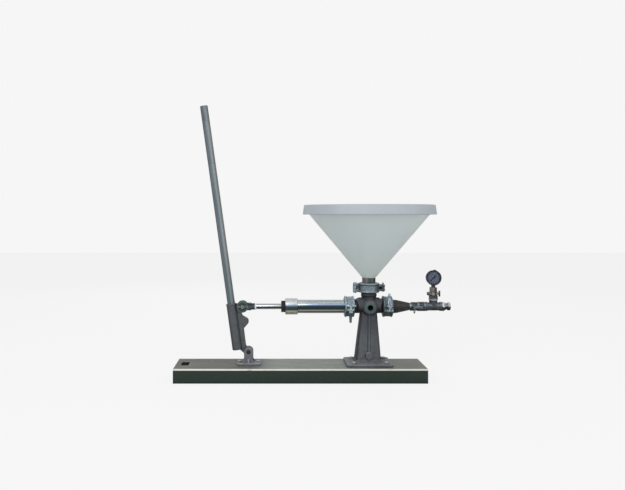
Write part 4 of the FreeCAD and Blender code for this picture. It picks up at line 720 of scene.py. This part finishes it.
def cast(node, name, voxel, passes, keep):
    # the node as a casting: every corner and every meeting of two forms run into a small fillet
    obj = finishPiece(name, welded(node), node, sharp=180)
    remesh = obj.modifiers.new("skin", "REMESH")
    remesh.mode = "VOXEL"
    remesh.voxel_size = voxel * mm
    smooth = obj.modifiers.new("fillets", "SMOOTH")
    smooth.factor = 0.5
    smooth.iterations = passes
    thin = obj.modifiers.new("thin", "DECIMATE")
    thin.ratio = keep
    mesh = applied(obj)
    dress(mesh, ownFinish(node))
    smoothFaces(mesh, 180)


# Hopper: one moulded shell with a stepped-out collar, rolled edges and a thin spout
def makeHopper():
    sizes = {"wall": 5.0, "pipe": 30.15, "spoutTop": 455.0, "coneTop": 741.7, "coneRadius": 270.0,
             "rimTop": 294.0, "spigot": 26.2, "spigotWall": 4.0, "lip": 4.0, "lipIn": 0.2, "ledgeIn": 1.0}
    centre, bottom, top = axisThrough("hopper", "z")
    low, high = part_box("hopper")
    rim = (high.y - low.y) / 2 / mm
    wall, cone, spout = sizes["wall"], sizes["coneTop"], sizes["spoutTop"]
    slope = math.atan2(sizes["coneRadius"] - sizes["pipe"], cone - spout)
    shift = wall / math.cos(slope)
    step = sizes["coneRadius"] + wall * math.tan(slope) - shift
    profile = [(bottom, sizes["spigot"]), (spout, sizes["spigot"]), (spout, sizes["pipe"]),
               (cone, sizes["coneRadius"]), (cone, rim - sizes["ledgeIn"]),
               (cone + sizes["lip"], rim - sizes["lipIn"]), (top, sizes["rimTop"]),
               (top, sizes["rimTop"] - wall), (cone + wall, rim - wall), (cone + wall, step),
               (spout, sizes["pipe"] - shift), (bottom, sizes["spigot"] - sizes["spigotWall"])]
    finishPiece("hopperShell", spun(profile, centre, "z", 192, 3.2), "hopper", sharp=60)


def makeNeck():
    sizes = {"outer": 30.1, "inner": 26.25}
    finishPiece("neckPipe", pipe("hopper_neck", "z", sizes, 96, 0.4), "hopper_neck")


# Handle: a long tube with two scribed lines under its top end
def makeHandle():
    sizes = {"outer": 17.4, "inner": 14.25, "lean": 7.9, "offset": 49.0, "start": 24.0, "length": 1108.8,
             "line": 68.0, "lineWidth": 1.6, "lineDepth": 0.45, "mark": 268.0}
    hinge = next(joint for joint in frame["joints"] if joint["name"] == "lever_swing")
    start, end = sizes["start"], sizes["start"] + sizes["length"]
    profile = [(start, sizes["inner"]), (start, sizes["outer"])]
    for below in (sizes["mark"], sizes["line"]):
        profile += groove(end - below, sizes["outer"], sizes["lineWidth"] / 2, sizes["lineDepth"])
    profile += [(end, sizes["outer"]), (end, sizes["inner"])]
    tube = spun(profile, Vector((-sizes["offset"] * mm, 0, 0)), "z", 72, 0.5)
    lean = Matrix.Rotation(math.radians(-sizes["lean"]), 4, "Y")
    turn = Matrix.Translation(Vector(hinge["pos_m"])) @ lean
    bmesh.ops.transform(tube, matrix=turn, verts=tube.verts)
    finishPiece("handleTube", tube, "handle_pipe")


# Cylinder, cap, gland and rod
def makeBarrel():
    sizes = {"outer": 30.1, "inner": 26.25}
    finishPiece("chromeBarrel", pipe("cylinder_tube", "x", sizes, 128, 0.5), "cylinder_tube")


def makeCap():
    sizes = {"outer": 36.4, "bore": 18.0, "line": 5.0, "lineHalf": 1.0, "lineDepth": 0.5, "socket": 30.2,
             "depth": 22.0, "chamfer": 1.5}
    outer, chamfer = sizes["outer"], sizes["chamfer"]
    centre, left, right = axisThrough("cylinder_cap", "x")
    profile = [(left, sizes["bore"]), (left, outer - chamfer), (left + chamfer, outer)]
    profile += groove(right - sizes["line"], outer, sizes["lineHalf"], sizes["lineDepth"])
    profile += [(right - chamfer, outer), (right, outer - chamfer), (right, sizes["socket"]),
                (right - sizes["depth"], sizes["socket"]), (right - sizes["depth"], sizes["bore"])]
    finishPiece("endCap", spun(profile, centre, "x", 128, 0.5), "cylinder_cap")


def makeGland():
    sizes = {"outer": 26.2, "flange": 18.2, "spigot": 18.0, "bore": 12.76, "groove": 1.2, "grooveHalf": 2.0,
             "chamfer": 1.2, "lead": 1.5}
    outer, chamfer, lead = sizes["outer"], sizes["chamfer"], sizes["lead"]
    centre, left, right = axisThrough("rod_gland", "x")
    face = left + sizes["flange"]
    profile = [(left, sizes["bore"] + lead), (left, outer - chamfer), (left + chamfer, outer)]
    profile += groove((left + face) / 2, outer, sizes["grooveHalf"], sizes["groove"])
    profile += [(face, outer), (face, sizes["spigot"]), (right, sizes["spigot"]), (right, sizes["bore"]),
                (left + lead, sizes["bore"])]
    finishPiece("rodGland", spun(profile, centre, "x", 96, 0.4), "rod_gland")


def makeRod():
    sizes = {"outer": 12.68, "spigot": 8.0, "shoulder": -9.5, "chamfer": 1.0}
    centre, left, right = axisThrough("piston_rod", "x")
    profile = [(left, 0), (left, sizes["outer"]), (sizes["shoulder"], sizes["outer"]),
               (sizes["shoulder"], sizes["spigot"]), (right - sizes["chamfer"], sizes["spigot"]),
               (right, sizes["spigot"] - sizes["chamfer"]), (right, 0)]
    finishPiece("polishedRod", spun(profile, centre, "x", 96, 0.3), "piston_rod")


# Hairpin cotter as a bent wire
def makeCotter():
    sizes = {"wire": 1.15, "bow": 8.6, "loop": 2.6, "left": 23.0, "right": 20.4, "lead": 3.0,
             "end": 4.0, "dip": 0.8, "tipRise": 3.0}
    pinX, _, pinZ = middleOf("clevis_pin")
    y = middleOf("clevis_cotter")[1]
    rise = 2 * sizes["loop"]
    foot = math.sqrt(sizes["bow"] ** 2 - rise ** 2)
    path = [(-sizes["left"], 0), (0, 0), (sizes["right"] - sizes["end"], 0), (sizes["right"], 0)]
    path += [(sizes["right"] + sizes["loop"] * math.sin(a), sizes["loop"] * (1 - math.cos(a)))
             for a in (math.pi / 4, math.pi / 2, 3 * math.pi / 4)]
    path += [(sizes["right"], rise), (foot + sizes["lead"], rise)]
    start = math.asin(rise / sizes["bow"])
    for step in range(9):
        angle = start + (math.pi - 2 * start) * step / 8
        path.append((sizes["bow"] * math.cos(angle), sizes["bow"] * math.sin(angle)))
    path += [(-foot - sizes["lead"], rise - sizes["dip"]), (sizes["lead"] - sizes["left"], sizes["tipRise"])]
    curve = bpy.data.curves.new("cotterPath", "CURVE")
    curve.dimensions = "3D"
    curve.bevel_depth = sizes["wire"] * mm
    curve.bevel_resolution = 4
    curve.use_fill_caps = True
    spline = curve.splines.new("POLY")
    spline.points.add(len(path) - 1)
    for point, (x, z) in zip(spline.points, path):
        point.co = (pinX + x * mm, y, pinZ + z * mm, 1)
    finishPiece("cotterPin", meshOf(curve), "clevis_cotter", sharp=70)


# Gauge: enamelled case and ring, printed dial, needle and lens
dial = {"radius": 30.9, "bore": 1.7, "outerTick": 26.2, "longTick": 3.2, "shortTick": 1.8, "longHalf": 0.32,
        "shortHalf": 0.16, "outerLine": 0.3, "innerRing": 15.6, "innerLine": 0.2, "figures": 19.2,
        "figureSize": 5.6, "zero": 225.0, "sweep": 270.0, "most": 10, "proud": 0.12}


def rayAt(degrees):
    # a direction on the dial, and the one square to it
    angle = math.radians(degrees)
    out = Vector((math.cos(angle), 0, math.sin(angle)))
    return out, Vector((-out.z, 0, out.x))


def twoRings(bm, centre, points, depths):
    # one outline at two depths, from points round the centre in millimetres
    return [[bm.verts.new(centre + Vector((0, y, 0)) + point * mm) for point in points] for y in depths]


def joinRings(bm, first, second):
    count = len(first)
    return [bm.faces.new([first[step], first[(step + 1) % count], second[(step + 1) % count], second[step]])
            for step in range(count)]


def addPrism(bm, centre, points, depths):
    first, second = twoRings(bm, centre, points, depths)
    faces = [bm.faces.new(first), bm.faces.new(second)] + joinRings(bm, first, second)
    bmesh.ops.recalc_face_normals(bm, faces=faces)


def addArc(bm, centre, radius, half, depths):
    # a thin ring over the dial's sweep, with four-sided faces
    steps = 80
    rays = [rayAt(dial["zero"] - dial["sweep"] * step / steps)[0] for step in range(steps + 1)]
    points = [out * (radius + half) for out in rays] + [out * (radius - half) for out in reversed(rays)]
    rings = twoRings(bm, centre, points, depths)
    last = len(points) - 1
    faces = [bm.faces.new([ring[step], ring[step + 1], ring[last - 1 - step], ring[last - step]])
             for ring in rings for step in range(steps)]
    bmesh.ops.recalc_face_normals(bm, faces=faces + joinRings(bm, *rings))


def addFigure(name, words, place, front, back):
    text = bpy.data.curves.new(name, "FONT")
    text.body = words
    text.size = dial["figureSize"] * mm
    text.align_x = "CENTER"
    text.align_y = "CENTER"
    text.extrude = (back - front) / 2
    text.resolution_u = 2
    mesh = meshOf(text)
    upright = Matrix.Rotation(math.pi / 2, 4, "X")
    mesh.transform(Matrix.Translation((place.x, (front + back) / 2, place.z)) @ upright)
    finishPiece(name, mesh, "gauge_dial", inkRed, False, sharp=30)


def makeCase(centre):
    case = {"outer": 32.9, "inner": 31.0, "rear": 28.0, "back": 14.0, "slant": 5.0, "front": 13.5,
            "floor": 7.0}
    back, outer, inner = case["back"], case["outer"], case["inner"]
    profile = [(back, 0), (back, case["rear"]), (back - case["slant"], outer), (-case["front"], outer),
               (-case["front"], inner), (-case["floor"], inner), (-case["floor"], 0)]
    finishPiece("gaugeCase", spun(profile, centre, "y", 96, 1.6), "gauge_case")
    ring = {"outer": 34.7, "bore": 33.05, "inner": 28.0, "front": 15.0, "back": 8.0, "outerEase": (2.0, 2.4),
            "innerEase": (1.5, 1.6)}
    depth, width = ring["outerEase"]
    lip, rise = ring["innerEase"]
    profile = [(-ring["back"], ring["bore"]), (-ring["back"], ring["outer"]),
               (depth - ring["front"], ring["outer"]), (-ring["front"], ring["outer"] - width),
               (-ring["front"], ring["inner"] + rise), (lip - ring["front"], ring["inner"]),
               (lip - ring["front"], ring["bore"])]
    finishPiece("gaugeRing", spun(profile, centre, "y", 96, 0.7), "gauge_bezel")


def makeDial(centre):
    low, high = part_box("gauge_dial")
    face, back = low.y / mm, high.y / mm
    plate = [(face, dial["bore"]), (face, dial["radius"]), (back, dial["radius"]), (back, dial["bore"])]
    finishPiece("dialPlate", spun(plate, centre, "y", 96, 0.1), "gauge_dial")
    depths = (low.y - dial["proud"] * mm, low.y)
    outer = dial["outerTick"]
    marks = bmesh.new()
    divisions = dial["most"] * 5
    for step in range(divisions + 1):
        out, side = rayAt(dial["zero"] - dial["sweep"] * step / divisions)
        kind = "long" if step % 5 == 0 else "short"
        inner, half = outer - dial[kind + "Tick"], dial[kind + "Half"]
        corners = [(inner, -half), (outer, -half), (outer, half), (inner, half)]
        addPrism(marks, centre, [out * a + side * b for a, b in corners], depths)
    addArc(marks, centre, outer, dial["outerLine"], depths)
    addArc(marks, centre, dial["innerRing"], dial["innerLine"], depths)
    finishPiece("dialScale", marks, "gauge_dial", inkBlack, False)
    for step in range(0, dial["most"] + 1, 2):
        out, _ = rayAt(dial["zero"] - dial["sweep"] * step / dial["most"])
        addFigure(f"figure{step}", str(step * 2), centre + out * dial["figures"] * mm, *depths)


def makeLens(centre):
    radius = dial["radius"]
    low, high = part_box("gauge_lens")
    profile = [(low.y / mm, 0), (low.y / mm, radius), (high.y / mm, radius), (high.y / mm, 0)]
    finishPiece("gaugeLens", spun(profile, centre, "y", 96, 0.5), "gauge_lens")


def makeNeedle(centre):
    needle = {"length": 23.5, "tail": 12.5, "tip": 1.5, "root": 2.3, "neck": 1.6, "tailHalf": 3.4,
              "waist": 3.0, "flare": 5.0, "broad": 8.0, "cap": 3.4, "capDepth": 1.5, "spindle": 1.5,
              "front": 0.8, "back": 1.6}
    low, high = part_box("gauge_pointer")
    out, side = rayAt(dial["zero"])
    wide = needle["tailHalf"]
    outline = [(needle["length"], needle["tip"]), (0, needle["root"]), (-needle["waist"], needle["neck"]),
               (-needle["flare"], wide * 0.8), (-needle["broad"], wide), (-needle["tail"], wide * 0.7)]
    outline += [(a, -b) for a, b in reversed(outline)]
    face, foot = low.y / mm, low.y / mm + needle["capDepth"]
    profile = [(face, 0), (face, needle["cap"]), (foot, needle["cap"]), (foot, needle["spindle"]),
               (high.y / mm, needle["spindle"]), (high.y / mm, 0)]
    bm = spun(profile, centre, "y", 40, 0.4)
    depths = (low.y + needle["back"] * mm, low.y + needle["front"] * mm)
    addPrism(bm, centre, [out * a + side * b for a, b in outline], depths)
    finishPiece("gaugeNeedle", bm, "gauge_pointer")


def makeGauge():
    middle = middleOf("gauge_dial")
    centre = Vector((middle[0], 0, middle[2]))
    makeCase(centre)
    makeDial(centre)
    makeLens(centre)
    makeNeedle(centre)


# Pieces whose CAD form is right: castings get their fillets, machined ones their broken edges
ownNames = {"pump_body": "bodyCasting", "reducer": "reducerCone", "tee": "gaugeTee",
            "gauge_cock_body": "cockBody", "gauge_cock_plug": "cockPlug", "gauge_cock_nut": "cockNut",
            "handle_set_screw": "setScrew"}


def pieceName(node):
    first, *rest = node.split("_")
    return ownNames.get(node, first + "".join(word.capitalize() for word in rest))


def makeCastings():
    # the skin's mesh size in millimetres, its rounds of smoothing and the share of its faces that is kept
    skins = {"pump_body": (1.5, 4, 0.8), "lever_casting": (1.2, 4, 0.5), "pivot_bracket": (1.1, 5, 0.6),
             "reducer": (1.1, 4, 0.5), "tee": (0.9, 4, 0.5), "cam_coupler": (0.7, 3, 0.4)}
    clampSkins = {"ear_half": (1.0, 4, 0.45), "catch_half": (1.0, 4, 0.45), "lever": (0.7, 3, 0.6)}
    for clamp in ("cylinder", "hopper", "outlet"):
        for part, skin in clampSkins.items():
            skins[f"{clamp}_clamp_{part}"] = skin
    for node, skin in skins.items():
        cast(node, pieceName(node), *skin)


def makeMachined():
    # how far each piece's edges are broken, in millimetres
    edges = {"base_channel": 0.8, "base_bolts": 0.4, "base_nuts": 0.4, "cleanout_plug": 0.8,
             "clevis_pin": 0.4, "rod_clevis": 0.6, "clamp_pins": 0.4, "pivot_pin": 0.3, "outlet_nipple": 0.4,
             "cam_arm_front": 0.5, "cam_arm_rear": 0.5, "cam_arm_pins": 0.3, "tee_adapter": 0.4,
             "hose_adapter": 0.6, "branch_bushing": 0.5, "gauge_coupling": 0.5, "gauge_stem": 0.4,
             "gauge_cock_body": 0.6, "gauge_cock_plug": 0.4, "gauge_cock_nut": 0.3, "gauge_fill_plug": 0.5,
             "handle_set_screw": 0.2, "clamp_gaskets": 0.4}
    for node, edge in edges.items():
        machined(node, pieceName(node), edge)


def dressHidden():
    # the hidden pieces that stay as their CAD nodes get their finish
    for node in ("rod_packing", "piston_plates", "piston_cups", "suction_seat", "suction_ball",
                 "discharge_seat", "discharge_ball", "valve_stop_pins", "coupler_gasket"):
        dress(nodes[node].data, ownFinish(node))


# Room: pale floor that keeps the shadow, and a plain pale surround
room = {"pale": tone(246, 246, 246), "diffuse": 0.42, "glossy": 0.6, "half": 9.0, "drop": 0.0005,
        "shadowShare": 0.12, "lit": 0.7}


def makeSurround():
    world = bpy.data.worlds.new("surround")
    bpy.context.scene.world = world
    world.use_nodes = True
    tree = world.node_tree
    background = tree.nodes["Background"]
    background.inputs["Color"].default_value = room["pale"]
    path = tree.nodes.new("ShaderNodeLightPath")
    levels = {"Is Camera Ray": 1.0, "Is Transmission Ray": 1.0, "Is Glossy Ray": room["glossy"]}
    last = None
    for output, level in levels.items():
        blend = tree.nodes.new("ShaderNodeMix")
        blend.inputs[3].default_value = level
        tree.links.new(path.outputs[output], blend.inputs[0])
        if last:
            tree.links.new(last.outputs[0], blend.inputs[2])
        else:
            blend.inputs[2].default_value = room["diffuse"]
        last = blend
    tree.links.new(last.outputs[0], background.inputs["Strength"])


def makeFloor():
    s = Shader("paleFloor", 0.9)
    s.surface.inputs["Base Color"].default_value = room["pale"]
    bright = (room["pale"][0] - room["shadowShare"] * room["lit"]) / (1 - room["shadowShare"])
    glow = s.node("ShaderNodeEmission", {}, {"Color": (bright, bright, bright, 1.0), "Strength": 1.0})
    share = s.node("ShaderNodeLightPath", {}, {}, "Is Camera Ray") * (1 - room["shadowShare"])
    blend = s.node("ShaderNodeMixShader", {}, {0: share, 1: Value(s, s.surface.outputs[0]), 2: glow})
    s.tree.links.new(blend.socket, s.tree.nodes["Material Output"].inputs["Surface"])
    bm = bmesh.new()
    bmesh.ops.create_grid(bm, x_segments=4, y_segments=4, size=room["half"])
    floor = addObject("floor", meshFrom(bm, "floor"))
    floor.location.z = -room["drop"]
    floor.data.materials.append(s.material)


def makeLights():
    lamps = {
        "key": {"place": (-1.6, -3.4, 3.0), "size": 2.6, "power": 78, "mirrored": True},
        "fill": {"place": (2.8, -2.6, 1.8), "size": 2.4, "power": 26, "mirrored": True},
        "top": {"place": (0.2, 0.6, 3.4), "size": 2.2, "power": 14, "mirrored": False},
        "rear": {"place": (-0.8, 3.2, 2.0), "size": 2.4, "power": 14, "mirrored": False},
    }
    target = Vector((0.05, 0, 0.5))
    for name, lamp in lamps.items():
        light = bpy.data.lights.new(name, "AREA")
        light.size = lamp["size"]
        light.energy = lamp["power"]
        holder = addObject(name, light)
        holder.location = lamp["place"]
        holder.rotation_euler = (target - holder.location).to_track_quat("-Z", "Y").to_euler()
        holder.visible_glossy = lamp["mirrored"]


makeHopper()
makeNeck()
makeHandle()
makeBarrel()
makeCap()
makeGland()
makeRod()
makeCotter()
print("turned pieces made")
makeGauge()
print("gauge made")
makeCastings()
print("castings made")
makeMachined()
dressHidden()
print("machined pieces made")
makeSurround()
makeFloor()
makeLights()
print("room and lights set")
